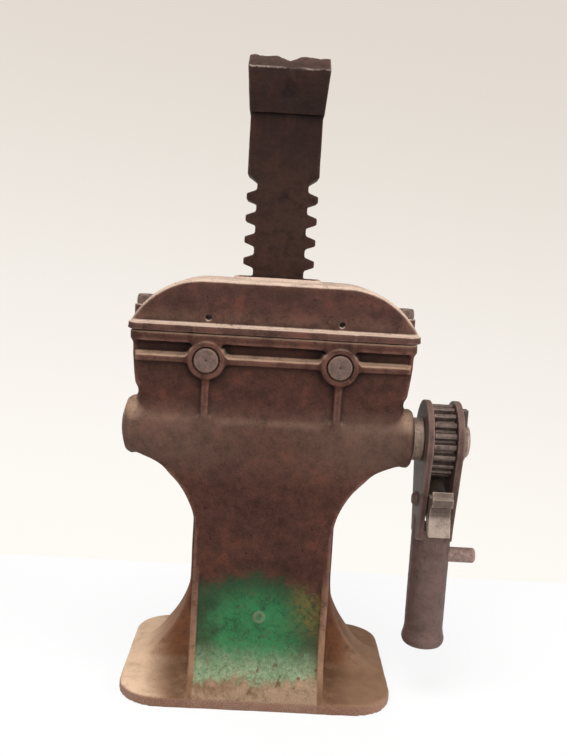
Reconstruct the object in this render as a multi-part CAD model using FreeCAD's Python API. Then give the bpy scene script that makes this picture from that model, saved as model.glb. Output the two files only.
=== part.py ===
import FreeCAD, Part
import math
import os
from FreeCAD import Vector

# Railroad track jack with a double worm drive and a toothed lifting bar.
# X runs to the right, Y to the back, Z up. The origin is the centre of the base's underside.
# Every size is in millimetres.

# Lifting bar and its two pinions
MODULE = 6.35
PINION_TEETH = 10
GEAR_PRESSURE = math.radians(20)
BAR_PITCH_HALF = 28.575
BAR_ADDENDUM = 5.08
BAR_DEDENDUM = 4.475
PINION_ADDENDUM = 4.2
PINION_DEDENDUM = 5.45
GEAR_BACKLASH = 0.4
PINION_OVERHANG = 1.0
PINION_SIDE_PLAY = 0.5
BAR_HALF_DEPTH = 19.0
TEETH_TO_SPARE = 2.5
TURNS_DOWN = 18
TURNS_UP = 12
BAR_FOOT_LENGTH = 5.0
BAR_NECK_BEVEL = 3.0
HEAD_HEIGHT = 51.5
HEAD_FOOT_HALF = 34.6
HEAD_TOP_HALF = 38.0
HEAD_FOOT_DEPTH = 24.0
HEAD_TOP_DEPTH = 27.5
HEAD_BEVEL = 11.5
HEAD_BEVEL_DEPTH = 5.5
HEAD_CROWN_INSET = 1.0
GROOVE_HALF = 10.0
GROOVE_DEPTH = 5.0
DIMPLE_RADIUS = 14.0
DIMPLE_DEPTH = 1.6
DIMPLE_RISE = 23.2

# Worm drive
WHEEL_TEETH = 24
WHEEL_PITCH_RADIUS = 50.8
WHEEL_ADDENDUM = 3.4
WHEEL_DEDENDUM = 3.9
WHEEL_WIDTH = 22.0
WHEEL_DISH_DEPTH = 4.0
WHEEL_DISH_RIM = 8.5
WHEEL_SIDE_ROOM = 3.0
WORM_PITCH_RADIUS = 15.875
WORM_ADDENDUM = 3.4
WORM_DEDENDUM = 3.9
WORM_TURNS = 3
WORM_PRESSURE = math.radians(20)
WORM_BACKLASH = 0.7
WORM_THREAD_SINK = 0.5
WORM_Y = -42.0
SHAFT_RADIUS = 9.525
SHAFT_CHAMFER = 1.0
SHOULDER_RADIUS = 13.0
SHOULDER_HALF = 8.0

# Pins, hubs and washers
PIN_HEIGHT = 321.0
PIN_RADIUS = 11.1125
PIN_PROUD = 1.4
PIN_TAIL = 0.5
PIN_CHAMFER = 1.0
PIN_DRILL_RADIUS = 1.6
PIN_DRILL_DEPTH = 2.0
HUB_RADIUS = 22.0
WASHER_THICK = 2.0
WASHER_RADIUS = 20.0
KEY_SIZE = 6.0
RUN_FIT = 0.05
END_PLAY = 0.3
SHORT_PIN = 0.2

# Gear case
CASE_SIDE_WALL = 13.775
CASE_SIDE_INSET = 3.5
CASE_REAR_WALL = 11.5
CASE_TAPER = 12.0
CASE_BULGE = 2.2
CASE_CORNER = 12.0
CASE_FLOOR_DROP = 14.0
CASE_FLOOR_BEVEL = 6.0
WAIST_RISE = 22.4
WALL = 8.5
PIN_TO_JOINT = 24.0
RIM_HEIGHT = 9.5
RIM_PROUD = 4.5
TOOTH_CLEAR = 3.2
SINK = 1.0

# Cover
COVER_RISE = 49.0
COVER_SHOULDER = 75.0
COVER_OVERHANG = 7.5
COVER_WALL = 6.5
COVER_EDGE = 5.0
COVER_INSET = 1.5
LIP_HEIGHT = 7.5
LIP_PROUD = 2.0
LIP_PAD_PROUD = 1.2
COLLAR_HEIGHT = 2.5
COLLAR_WIDTH = 5.0
COLLAR_CORNER = 6.0
BAR_OPENING_PLAY = 2.6
OIL_HOLE_RADIUS = 2.5
OIL_HOLE_RISE = 14.0
BOLT_INSET = 8.0
BOLT_Y = -15.0
BOLT_RADIUS = 5.0
BOLT_HOLE_PLAY = 0.4
BOLT_HEAD_FLATS = 15.0
BOLT_HEAD_HEIGHT = 9.0
BOLT_HEAD_ROUND = 10.6
BOLT_HEAD_CROWN = 6.8
BOLT_BOSS_RADIUS = 10.5
BOLT_BOSS_HEIGHT = 20.5
BOLT_DEPTH = 24.0
LUG_FLOOR = 6.0
LUG_SKIRT = 14.0

# Worm tube across the body
TUBE_RADIUS = 28.0
TUBE_LEFT_PROUD = 2.5
TUBE_RIGHT_PROUD = 2.0
TUBE_ROUND = 7.0
TUBE_CHAMFER = 3.0
WORM_CLEAR = 1.0
RIGHT_BUSH_LENGTH = 34.0
RIGHT_BUSH_RADIUS = 14.3
PLUG_LENGTH = 9.0
PLUG_TO_BUSH = 1.5
PLUG_DOME = 2.5
PLUG_SOCKET = 12.0

# Column and base
BASE_LENGTH = 260.0
BASE_DEPTH = 188.0
BASE_CORNER = 39.0
BASE_THICK = 11.0
BASE_ROUND = 3.0
COLUMN_HALF = 64.5
COLUMN_PROUD = 1.5
COLUMN_REAR_PROUD = 2.0
CORE_CORNER = 8.0
EDGE_RIB_WIDTH = 7.0
PANEL_RECESS = 4.5
PANEL_TOP = 132.0
PANEL_FADE = 26.0
FLARE_RADIUS = 60.0
REAR_FLARE_RADIUS = 80.0
SPREAD_RADIUS = 73.5
SPREAD_RISE = 96.8
WEB_STEP = 5.0
WEB_RADIUS = 103.0
WEB_FRONT = -22.0
WEB_REAR = 30.0
WEB_CENTRE = 103.0
ROOF_DROP = 42.3
GUIDE_PLAY = 0.35
RING_BOSS_Z = 78.0
RING_BOSS_RADIUS = 5.5
RING_BOSS_HEIGHT = 1.5
RING_BOSS_WALL = 2.0

# Front face of the gear case
BOSS_RADIUS = 17.8
BOSS_PROUD = 7.5
BOSS_CHAMFER = 1.8
REAR_BOSS_RADIUS = 15.8
PAD_HALF = 13.0
PAD_PROUD = 6.0
RIB_HALF = 3.5
RIB_PROUD = 4.5
RECESS_DEPTH = 3.5
SIDE_RIB_INSET = 6.5

# Ratchet, handle and pawl
SIDE_COLLAR_LENGTH = 9.3
SIDE_COLLAR_RADIUS = 20.2
RATCHET_TEETH = 20
RATCHET_RADIUS = 34.4
RATCHET_DEPTH = 5.5
RATCHET_CROWN = 0.7
RATCHET_TIP_WIDTH = 4.6
RATCHET_ROOT_WIDTH = 6.0
RATCHET_HUB = 16.0
RATCHET_KEY = 5.0
WORM_PIN_RADIUS = 2.5
WORM_PIN_X = 22.0
COLLAR_PIN_RADIUS = 2.5
COLLAR_PIN_SHORT = 0.6
END_COLLAR_RADIUS = 16.0
END_COLLAR_LENGTH = 9.5
END_COLLAR_CHAMFER = 2.0
COTTER_THICK = 5.4
COTTER_WIDTH = 10.0
COTTER_PROUD = 14.5
COTTER_REACH = 1.0
CHEEK_GAP_HALF = 10.5
CHEEK_THICK = 6.5
EYE_MARGIN = 3.4
KNEE_OUT = 1.0
KNEE_RISE = 6.0
CHEEK_FOOT_DROP = 10.0
CHEEK_FOOT_INSET = 2.0
SLOT_BELOW_PAWL = 26.0
SOCKET_RADIUS = 18.7
SOCKET_BORE = 14.4
SOCKET_BORE_DEPTH = 104.0
SOCKET_MOUTH = 1.0
SOCKET_FLOOR = 1.0
SOCKET_POINT = 2.0
SOCKET_CROWN = 8.0
BEAD_RADIUS = 20.7
BEAD_HEIGHT = 17.0
BEAD_ROUND = 2.5
PEG_RADIUS = 7.2
PEG_BELOW_SLOT = 27.0
PEG_LENGTH = 24.5
PEG_CHAMFER = 1.5
PAWL_GAP = 23.6
PAWL_SIDE_PLAY = 0.8
PAWL_HUB = 11.0
PAWL_PIN_RADIUS = 5.0
PAWL_HEAD_RADIUS = 7.4
PAWL_HEAD_HEIGHT = 4.2
PAWL_REAR_SWING = 10.0
PAWL_FRONT_SWING = 35.0
PAWL_BITE = 4.4
PAWL_CLEAR = 0.9
PAWL_TIP_HALF = 1.2
PAWL_NECK_HALF = 1.9
PAWL_BROW_HALF = 4.5
PAWL_BROW_DROP = 1.5
PAWL_ARM_HALF = 9.0
PAWL_ARM_SEAT = 4.5
PAWL_TAB_REACH = 38.5
PAWL_TAB_DROP = 25.5
PAWL_TAB_THICK = 5.5
PAWL_TAB_HOLLOW = 5.0
PLUNGER_RADIUS = 4.0
PLUNGER_LENGTH = 17.0
PLUNGER_HOLE_DEPTH = 10.0
PLUNGER_GAP = 0.1
SPRING_WIRE = 0.9
SPRING_TURNS = 3
SPRING_SIDES = 8

# Sizes that follow from the driving ones: gears and travel
PITCH = math.pi * MODULE
PINION_RADIUS = MODULE * PINION_TEETH / 2
PINION_REACH = BAR_HALF_DEPTH + PINION_OVERHANG
PIN_X = BAR_PITCH_HALF + PINION_RADIUS
WORM_Z = PIN_HEIGHT - WHEEL_PITCH_RADIUS - WORM_PITCH_RADIUS
WORM_LEAD = 2 * math.pi * WHEEL_PITCH_RADIUS / WHEEL_TEETH
LIFT_PER_TURN = 2 * math.pi * PINION_RADIUS / WHEEL_TEETH
BAR_TEETH_ABOVE_PIN = math.floor(TURNS_DOWN * PINION_TEETH / WHEEL_TEETH) + 0.5
BAR_TEETH_BELOW_PIN = math.ceil(TURNS_UP * PINION_TEETH / WHEEL_TEETH + TEETH_TO_SPARE) - 0.5
BAR_TEETH = round(BAR_TEETH_ABOVE_PIN + BAR_TEETH_BELOW_PIN) + 1
BAR_TIP_HALF = BAR_PITCH_HALF + BAR_ADDENDUM
BAR_ROOT_HALF = BAR_PITCH_HALF - BAR_DEDENDUM
TOP_TOOTH_Z = PIN_HEIGHT + BAR_TEETH_ABOVE_PIN * PITCH
BAR_FOOT_Z = TOP_TOOTH_Z - (BAR_TEETH - 1) * PITCH - BAR_FOOT_LENGTH
WHEEL_FRONT = WORM_Y - WHEEL_WIDTH / 2
WHEEL_REAR = WORM_Y + WHEEL_WIDTH / 2
WHEEL_ROOM = WHEEL_PITCH_RADIUS + WHEEL_ADDENDUM + TOOTH_CLEAR

# Sizes that follow from the driving ones: case and cover
CAVITY_FRONT = WHEEL_FRONT - WHEEL_SIDE_ROOM
CAVITY_REAR = PINION_REACH + PINION_SIDE_PLAY + WASHER_THICK
CASE_FRONT = CAVITY_FRONT - WALL
CASE_REAR = CAVITY_REAR + CASE_REAR_WALL
CASE_HALF = PIN_X + WHEEL_ROOM + CASE_SIDE_WALL
CASE_WAIST = CASE_HALF - CASE_TAPER
JOINT_HEIGHT = PIN_HEIGHT + PIN_TO_JOINT
COVER_TOP = JOINT_HEIGHT + COVER_RISE
COVER_FLAT_HALF = CASE_HALF - COVER_SHOULDER + COVER_OVERHANG
OIL_HOLE_HEIGHT = JOINT_HEIGHT + OIL_HOLE_RISE
BOLT_X = CASE_HALF - BOLT_INSET
BOLT_BOSS_TOP = JOINT_HEIGHT + BOLT_BOSS_HEIGHT
HEAD_FOOT_Z = COVER_TOP + COLLAR_HEIGHT + END_PLAY + TURNS_DOWN * LIFT_PER_TURN
BOSS_FACE = CASE_FRONT - BOSS_PROUD
PAD_FACE = CASE_FRONT - PAD_PROUD
RIB_FACE = CASE_FRONT - RIB_PROUD
RECESS_FACE = CASE_FRONT + RECESS_DEPTH
SIDE_RIB_REACH = CASE_HALF - SIDE_RIB_INSET

# Sizes that follow from the driving ones: column and worm tube
COLUMN_FRONT = CASE_FRONT - COLUMN_PROUD
COLUMN_REAR = CASE_REAR + COLUMN_REAR_PROUD
COLUMN_ROOF = WORM_Z - ROOF_DROP
SPREAD_FOOT = WORM_Z - SPREAD_RISE
WEB_HALF = COLUMN_HALF + WEB_STEP
TUBE_LEFT = -CASE_HALF - TUBE_LEFT_PROUD
TUBE_RIGHT = CASE_HALF + TUBE_RIGHT_PROUD
BUSH_START = TUBE_RIGHT - RIGHT_BUSH_LENGTH
WORM_ROOT = WORM_PITCH_RADIUS - WORM_DEDENDUM
WORM_TIP = WORM_PITCH_RADIUS + WORM_ADDENDUM
WORM_BORE = WORM_TIP + WORM_CLEAR

# Sizes that follow from the driving ones: handle and ratchet
CHEEK_OUT = CHEEK_GAP_HALF + CHEEK_THICK
HANDLE_X = TUBE_RIGHT + END_PLAY + SIDE_COLLAR_LENGTH + END_PLAY + CHEEK_OUT
END_COLLAR_X = HANDLE_X + CHEEK_OUT + END_PLAY
RATCHET_HALF = CHEEK_GAP_HALF - END_PLAY
RATCHET_ROOT = RATCHET_RADIUS - RATCHET_DEPTH
EYE_RADIUS = RATCHET_RADIUS + EYE_MARGIN
PAWL_HALF = CHEEK_GAP_HALF - PAWL_SIDE_PLAY
PAWL_DROP = RATCHET_RADIUS + PAWL_GAP
PAWL_Z = WORM_Z - PAWL_DROP
SLOT_BOTTOM = PAWL_DROP + SLOT_BELOW_PAWL
SOCKET_TOP = SLOT_BOTTOM + PLUNGER_HOLE_DEPTH + SOCKET_FLOOR + SOCKET_POINT
SOCKET_LENGTH = SOCKET_TOP + SOCKET_BORE_DEPTH
PEG_DROP = SLOT_BOTTOM + PEG_BELOW_SLOT


def block(x0, x1, y0, y1, z0, z1):
    return Part.makeBox(x1 - x0, y1 - y0, z1 - z0, Vector(x0, y0, z0))


def rod_x(radius, x0, x1, y, z):
    return Part.makeCylinder(radius, x1 - x0, Vector(x0, y, z), Vector(1, 0, 0))


def rod_y(radius, y0, y1, x, z):
    return Part.makeCylinder(radius, y1 - y0, Vector(x, y0, z), Vector(0, 1, 0))


def rod_z(radius, z0, z1, x, y):
    return Part.makeCylinder(radius, z1 - z0, Vector(x, y, z0), Vector(0, 0, 1))


def front_view(x, z):
    return Vector(x, 0, z)


def side_view(y, z):
    return Vector(0, y, z)


def outline(view, start, *steps):
    """Closed face from a start point and steps: (end) is a line, (mid, end) an arc."""
    edges = []
    here = view(*start)
    for step in steps + (start,):
        if isinstance(step[0], tuple):
            mid = view(*step[0])
            end = view(*step[1])
            edges.append(Part.Arc(here, mid, end).toShape())
        else:
            end = view(*step)
            edges.append(Part.makeLine(here, end))
        here = end
    return Part.Face(Part.Wire(edges))


def on_circle(centre, radius, degrees):
    angle = math.radians(degrees)
    return (centre[0] + radius * math.cos(angle), centre[1] + radius * math.sin(angle))


def along_y(face, y0, y1):
    solid = face.extrude(Vector(0, y1 - y0, 0))
    solid.translate(Vector(0, y0, 0))
    return solid


def along_x(face, x0, x1):
    solid = face.extrude(Vector(x1 - x0, 0, 0))
    solid.translate(Vector(x0, 0, 0))
    return solid


def rounded_plate(half_x, y0, y1, corner, z0, z1):
    """Upright prism on a rectangle with round corners."""
    slab = block(-half_x, half_x, y0, y1, z0, z1)
    upright = [e for e in slab.Edges if abs(e.tangentAt(e.FirstParameter).z) > 0.9]
    return slab.makeFillet(corner, upright)


def mirrored(shape):
    return shape.mirror(Vector(0, 0, 0), Vector(1, 0, 0))


def both_sides(shape):
    return shape.fuse(mirrored(shape))


def revolve_x(points, y, z):
    """Solid of revolution about the line along X through (y, z); points are (x, radius)."""
    face = Part.Face(Part.makePolygon([Vector(x, 0, r) for x, r in points + [points[0]]]))
    solid = face.revolve(Vector(0, 0, 0), Vector(1, 0, 0), 360)
    solid.translate(Vector(0, y, z))
    return solid


def save(name, shape):
    shape.exportStep("parts/" + name + ".step")


def involute_angle(pressure):
    return math.tan(pressure) - pressure


def gear_wire(teeth, pitch_radius, tip_radius, root_radius, pressure, thickness, first, centre, curved):
    """Gear outline in a plane across Y. first is the direction of one tooth, in radians.

    The flanks follow an involute where curved is set, and are straight otherwise.
    """
    x, y, z = centre
    base = pitch_radius * math.cos(pressure)
    foot = max(base, root_radius)

    def half_angle(radius):
        at = math.acos(min(1.0, base / radius))
        return thickness / (2 * pitch_radius) + involute_angle(pressure) - involute_angle(at)

    def point(radius, angle):
        return Vector(x + radius * math.cos(angle), y, z + radius * math.sin(angle))

    step = 2 * math.pi / teeth
    middle = (foot + tip_radius) / 2
    edges = []
    for k in range(teeth):
        axis = first + k * step
        low = half_angle(foot)
        rise = [point(foot, axis - low), point(middle, axis - half_angle(middle)),
                point(tip_radius, axis - half_angle(tip_radius))]
        fall = [point(tip_radius, axis + half_angle(tip_radius)),
                point(middle, axis + half_angle(middle)), point(foot, axis + low)]
        following = axis + step - low
        root = point(root_radius, axis - low)
        next_root = point(root_radius, axis + low)
        if not curved:
            edges.append(Part.makeLine(root, rise[2]))
            edges.append(Part.makeLine(rise[2], fall[0]))
            edges.append(Part.makeLine(fall[0], next_root))
            edges.append(Part.makeLine(next_root, point(root_radius, following)))
            continue
        if root_radius < foot:
            edges.append(Part.makeLine(root, rise[0]))
        edges.append(Part.Arc(*rise).toShape())
        edges.append(Part.Arc(rise[2], point(tip_radius, axis), fall[0]).toShape())
        edges.append(Part.Arc(*fall).toShape())
        if root_radius < foot:
            edges.append(Part.makeLine(fall[2], next_root))
        edges.append(Part.Arc(next_root, point(root_radius, (axis + low + following) / 2),
                              point(root_radius, following)).toShape())
    return Part.Wire(edges)


def base_plate():
    plate = rounded_plate(BASE_LENGTH / 2, -BASE_DEPTH / 2, BASE_DEPTH / 2, BASE_CORNER, 0, BASE_THICK)
    top = [e for e in plate.Edges if e.BoundBox.ZMin > BASE_THICK - 0.01]
    return plate.makeFillet(BASE_ROUND, top)


def flare_height(radius, reach):
    """Height at which an arc that leaves a wall upright meets a floor that is reach away."""
    return math.sqrt(radius ** 2 - (radius - reach) ** 2)


def column_profile(front, fade_from, fade_to):
    """Side view of the column: upright walls that flare out to the base front and back."""
    toe = -BASE_DEPTH / 2 + BASE_ROUND
    heel = BASE_DEPTH / 2 - BASE_ROUND
    front_rise = flare_height(FLARE_RADIUS, fade_to - toe)
    front_turn = math.degrees(math.asin(front_rise / FLARE_RADIUS)) / 2
    rear_rise = flare_height(REAR_FLARE_RADIUS, heel - COLUMN_REAR)
    rear_turn = math.degrees(math.asin(rear_rise / REAR_FLARE_RADIUS)) / 2
    front_mid = on_circle((fade_to - FLARE_RADIUS, BASE_THICK + front_rise), FLARE_RADIUS, -front_turn)
    rear_mid = on_circle((COLUMN_REAR + REAR_FLARE_RADIUS, BASE_THICK + rear_rise),
                         REAR_FLARE_RADIUS, 180 + rear_turn)
    return outline(side_view, (toe, 0), (toe, BASE_THICK),
                   (front_mid, (fade_to, BASE_THICK + front_rise)),
                   (fade_to, fade_from - PANEL_FADE), (front, fade_from),
                   (front, WORM_Z), (COLUMN_REAR, WORM_Z),
                   (COLUMN_REAR, BASE_THICK + rear_rise),
                   (rear_mid, (heel, BASE_THICK)), (heel, 0))


def column():
    panel_half = COLUMN_HALF - EDGE_RIB_WIDTH
    panel = column_profile(COLUMN_FRONT, PANEL_TOP, COLUMN_FRONT + PANEL_RECESS)
    ribbed = column_profile(COLUMN_FRONT, PANEL_TOP, COLUMN_FRONT)
    core = along_x(panel, -panel_half, panel_half)
    rib = along_x(ribbed, panel_half, COLUMN_HALF)
    return core.fuse([rib, mirrored(rib)])


def web_half_face(shrink, reach, floor, top):
    """Front view of one half of the side web, from the column out to reach near the base."""
    half = WEB_HALF - shrink
    radius = WEB_RADIUS + shrink
    centre = (half + radius, WEB_CENTRE)
    drop = math.sqrt(radius ** 2 - (centre[0] - reach) ** 2)
    turn = math.degrees(math.atan2(drop, centre[0] - reach))
    return outline(front_view, (0, floor), (reach, floor), (reach, WEB_CENTRE - drop),
                   (on_circle(centre, radius, 180 + turn / 2), (half, WEB_CENTRE)), (half, top), (0, top))


def side_webs():
    web = web_half_face(0, BASE_LENGTH / 2 - BASE_ROUND, 0, WORM_Z)
    return both_sides(along_y(web, WEB_FRONT, WEB_REAR))


def spread_half_face(shrink, top):
    """Front view of one half of the column's upper part, which spreads out to carry the case."""
    radius = SPREAD_RADIUS + shrink
    reach = CASE_WAIST - shrink
    centre = (COLUMN_HALF + SPREAD_RADIUS, SPREAD_FOOT)
    rise = math.sqrt(radius ** 2 - (centre[0] - reach) ** 2)
    turn = math.degrees(math.atan2(rise, centre[0] - reach))
    return outline(front_view, (0, SPREAD_FOOT), (COLUMN_HALF - shrink, SPREAD_FOOT),
                   (on_circle(centre, radius, 180 - turn / 2), (reach, SPREAD_FOOT + rise)),
                   (reach, top), (0, top))


def column_spread():
    return both_sides(along_y(spread_half_face(0, WORM_Z), COLUMN_FRONT, COLUMN_REAR))


def case_block():
    bottom = WORM_Z - CASE_FLOOR_DROP
    side = (CASE_HALF - CASE_SIDE_INSET, JOINT_HEIGHT - RIM_HEIGHT)
    waist = (CASE_WAIST, WORM_Z + WAIST_RISE)
    bulge = ((side[0] + waist[0]) / 2 + CASE_BULGE, (side[1] + waist[1]) / 2)
    half = outline(front_view, (0, bottom), (CASE_WAIST - CASE_FLOOR_BEVEL, bottom), waist, (bulge, side),
                   (side[0], JOINT_HEIGHT), (0, JOINT_HEIGHT))
    form = both_sides(along_y(half, CASE_FRONT, CASE_REAR))
    round_plan = rounded_plate(CASE_HALF, CASE_FRONT, CASE_REAR, CASE_CORNER, bottom, JOINT_HEIGHT)
    return form.common(round_plan)


def case_rim():
    return rounded_plate(CASE_HALF, CASE_FRONT - RIM_PROUD, CASE_REAR + RIM_PROUD, CASE_CORNER + RIM_PROUD,
                         JOINT_HEIGHT - RIM_HEIGHT, JOINT_HEIGHT)


def worm_tube():
    """Tube with its left end rounded in two cones and its right end chamfered."""
    return revolve_x([(TUBE_LEFT, 0), (TUBE_LEFT, TUBE_RADIUS - TUBE_ROUND * 0.8),
                      (TUBE_LEFT + TUBE_ROUND * 0.3, TUBE_RADIUS - TUBE_ROUND * 0.35),
                      (TUBE_LEFT + TUBE_ROUND, TUBE_RADIUS), (TUBE_RIGHT - TUBE_CHAMFER, TUBE_RADIUS),
                      (TUBE_RIGHT, TUBE_RADIUS - TUBE_CHAMFER), (TUBE_RIGHT, 0)], WORM_Y, WORM_Z)


def pin_boss(x):
    boss = rod_y(BOSS_RADIUS, BOSS_FACE, CAVITY_FRONT, x, PIN_HEIGHT)
    rim = [e for e in boss.Edges if e.BoundBox.YMax < BOSS_FACE + 0.01]
    boss = boss.makeChamfer(BOSS_CHAMFER, rim)
    pad = block(x - PAD_HALF, x + PAD_HALF, PAD_FACE, CASE_FRONT + SINK, PIN_HEIGHT, JOINT_HEIGHT)
    drop = block(x - RIB_HALF, x + RIB_HALF, RIB_FACE, CASE_FRONT + SINK, WORM_Z, PIN_HEIGHT)
    back = rod_y(REAR_BOSS_RADIUS, CAVITY_REAR, CASE_REAR + RIM_PROUD, x, PIN_HEIGHT)
    return boss.fuse([pad, drop, back])


def case_front_details():
    ledge = block(-SIDE_RIB_REACH, SIDE_RIB_REACH, RIB_FACE, CASE_FRONT + SINK,
                  PIN_HEIGHT - RIB_HALF, PIN_HEIGHT + RIB_HALF)
    return ledge.fuse([pin_boss(-PIN_X), pin_boss(PIN_X)])


def bolt_lug(x):
    foot = JOINT_HEIGHT - BOLT_DEPTH - LUG_FLOOR
    lug = rod_z(BOLT_BOSS_RADIUS, foot, JOINT_HEIGHT, x, BOLT_Y)
    skirt = Part.makeCone(BOLT_BOSS_RADIUS - LUG_FLOOR, BOLT_BOSS_RADIUS, LUG_SKIRT,
                          Vector(x, BOLT_Y, foot - LUG_SKIRT))
    return lug.fuse(skirt)


def ledge_recess():
    return block(-SIDE_RIB_REACH, SIDE_RIB_REACH, CASE_FRONT - SINK, RECESS_FACE,
                 PIN_HEIGHT + RIB_HALF, JOINT_HEIGHT - RIM_HEIGHT)


def ring_boss():
    face = COLUMN_FRONT + PANEL_RECESS
    front = face - RING_BOSS_HEIGHT
    ring = rod_y(RING_BOSS_RADIUS, front, face + SINK, 0, RING_BOSS_Z)
    return ring.cut(rod_y(RING_BOSS_RADIUS - RING_BOSS_WALL, front - SINK, face - RING_BOSS_HEIGHT / 4,
                          0, RING_BOSS_Z))


def gear_cavities():
    pinion_room = PINION_RADIUS + PINION_ADDENDUM + TOOTH_CLEAR
    shelf = WHEEL_REAR + TOOTH_CLEAR
    wheel = rod_y(WHEEL_ROOM, CAVITY_FRONT, shelf, PIN_X, PIN_HEIGHT)
    wheel_top = block(0, PIN_X + WHEEL_ROOM, CAVITY_FRONT, shelf, PIN_HEIGHT, JOINT_HEIGHT)
    pinion = rod_y(pinion_room, shelf, CAVITY_REAR, PIN_X, PIN_HEIGHT)
    pinion_top = block(0, PIN_X + pinion_room, shelf, CAVITY_REAR, PIN_HEIGHT, JOINT_HEIGHT)
    return both_sides(wheel.fuse([wheel_top, pinion, pinion_top]))


def bar_channel(top):
    """Guided passage of the lifting bar, from the roof of the column up into the gear case."""
    return block(-BAR_TIP_HALF - GUIDE_PLAY, BAR_TIP_HALF + GUIDE_PLAY, -BAR_HALF_DEPTH - GUIDE_PLAY,
                 BAR_HALF_DEPTH + GUIDE_PLAY, COLUMN_ROOF - SINK, top)


def column_core():
    """Hollow of the column, its spread top and its side webs, open at the base."""
    front = COLUMN_FRONT + PANEL_RECESS + WALL
    rear = COLUMN_REAR - WALL
    room = rounded_plate(COLUMN_HALF - WALL, front, rear, CORE_CORNER, -SINK, COLUMN_ROOF)
    spread = both_sides(along_y(spread_half_face(WALL, WORM_Z), front, rear))
    spread = spread.common(block(-CASE_WAIST, CASE_WAIST, front, rear, SPREAD_FOOT, COLUMN_ROOF))
    web = web_half_face(WALL, BASE_LENGTH / 2 - 2 * WALL, -SINK, WEB_CENTRE + SINK)
    webs = both_sides(along_y(web, WEB_FRONT + WALL, WEB_REAR - WALL))
    return room.fuse([spread, webs])


def worm_bores():
    long_bore = rod_x(WORM_BORE, TUBE_LEFT - SINK, BUSH_START, WORM_Y, WORM_Z)
    right = rod_x(RIGHT_BUSH_RADIUS, 0, TUBE_RIGHT + SINK, WORM_Y, WORM_Z)
    return long_bore.fuse(right)


def body_casting():
    outside = base_plate().fuse([column(), side_webs(), column_spread(), case_block(), worm_tube()])
    outside = outside.cut(ledge_recess())
    outside = outside.fuse([case_rim(), case_front_details(), ring_boss(), bolt_lug(-BOLT_X), bolt_lug(BOLT_X)])
    hollow = gear_cavities().fuse([bar_channel(JOINT_HEIGHT + SINK), column_core(), worm_bores()])
    body = outside.cut(hollow)
    for side in (-1, 1):
        body = body.cut(rod_y(PIN_RADIUS, BOSS_FACE - SINK, CASE_REAR + RIM_PROUD + SINK,
                              side * PIN_X, PIN_HEIGHT))
        body = body.cut(rod_z(BOLT_RADIUS, JOINT_HEIGHT - BOLT_DEPTH, JOINT_HEIGHT + SINK,
                              side * BOLT_X, BOLT_Y))
    return body.removeSplitter()


def cover_face(shrink, floor):
    """Front view of the cover: flat top and long round shoulders."""
    radius = COVER_SHOULDER - shrink
    centre = (COVER_FLAT_HALF, COVER_TOP - COVER_SHOULDER)
    reach = COVER_FLAT_HALF + math.sqrt(radius ** 2 - (floor - centre[1]) ** 2)
    turn = math.degrees(math.atan2(floor - centre[1], reach - COVER_FLAT_HALF))
    middle = on_circle(centre, radius, (90 + turn) / 2)
    return outline(front_view, (0, floor), (reach, floor), (middle, (COVER_FLAT_HALF, COVER_TOP - shrink)),
                   (0, COVER_TOP - shrink))


def cover_dome():
    front = CASE_FRONT + COVER_INSET
    rear = CASE_REAR - COVER_INSET
    dome = both_sides(along_y(cover_face(0, JOINT_HEIGHT + COVER_INSET), front, rear)).removeSplitter()
    boxes = [(edge, edge.BoundBox) for edge in dome.Edges]
    rim = [edge for edge, box in boxes if box.YLength < 0.01 and box.ZMax > COVER_TOP - SINK]
    return dome.makeFillet(COVER_EDGE, rim)


def lip_pad(x):
    """Low bump on the cover's lip above each boss of the case."""
    front = CASE_FRONT - RIM_PROUD - LIP_PROUD - LIP_PAD_PROUD
    return block(x - PAD_HALF, x + PAD_HALF, front, CASE_FRONT, JOINT_HEIGHT, JOINT_HEIGHT + LIP_HEIGHT)


def gear_cover():
    lip = rounded_plate(CASE_HALF + LIP_PROUD, CASE_FRONT - RIM_PROUD - LIP_PROUD,
                        CASE_REAR + RIM_PROUD + LIP_PROUD, CASE_CORNER + RIM_PROUD,
                        JOINT_HEIGHT, JOINT_HEIGHT + LIP_HEIGHT)
    opening_x = BAR_TIP_HALF + BAR_OPENING_PLAY
    opening_y = BAR_HALF_DEPTH + BAR_OPENING_PLAY
    collar = rounded_plate(opening_x + COLLAR_WIDTH, -opening_y - COLLAR_WIDTH, opening_y + COLLAR_WIDTH,
                           COLLAR_CORNER, COVER_TOP - COVER_WALL, COVER_TOP + COLLAR_HEIGHT)
    bosses = [rod_z(BOLT_BOSS_RADIUS, JOINT_HEIGHT, BOLT_BOSS_TOP, side * BOLT_X, BOLT_Y) for side in (-1, 1)]
    room = both_sides(along_y(cover_face(COVER_WALL, JOINT_HEIGHT), CAVITY_FRONT, CAVITY_REAR))
    pads = [lip_pad(-PIN_X), lip_pad(PIN_X)]
    shell = cover_dome().fuse([lip] + pads).cut(room)
    spot = [rod_z(BOLT_BOSS_RADIUS + SINK, BOLT_BOSS_TOP, COVER_TOP, side * BOLT_X, BOLT_Y) for side in (-1, 1)]
    shell = shell.fuse([collar] + bosses).cut(spot)
    shell = shell.cut(block(-opening_x, opening_x, -opening_y, opening_y,
                            COVER_TOP - 2 * COVER_WALL, COVER_TOP + COLLAR_HEIGHT + SINK))
    front = CASE_FRONT - RIM_PROUD - LIP_PROUD - LIP_PAD_PROUD - SINK
    for side in (-1, 1):
        shell = shell.cut(rod_y(OIL_HOLE_RADIUS, front, CAVITY_FRONT + SINK, side * PIN_X, OIL_HOLE_HEIGHT))
        shell = shell.cut(rod_z(BOLT_RADIUS + BOLT_HOLE_PLAY, JOINT_HEIGHT - SINK, BOLT_BOSS_TOP + SINK,
                                side * BOLT_X, BOLT_Y))
    return shell.removeSplitter()


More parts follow.
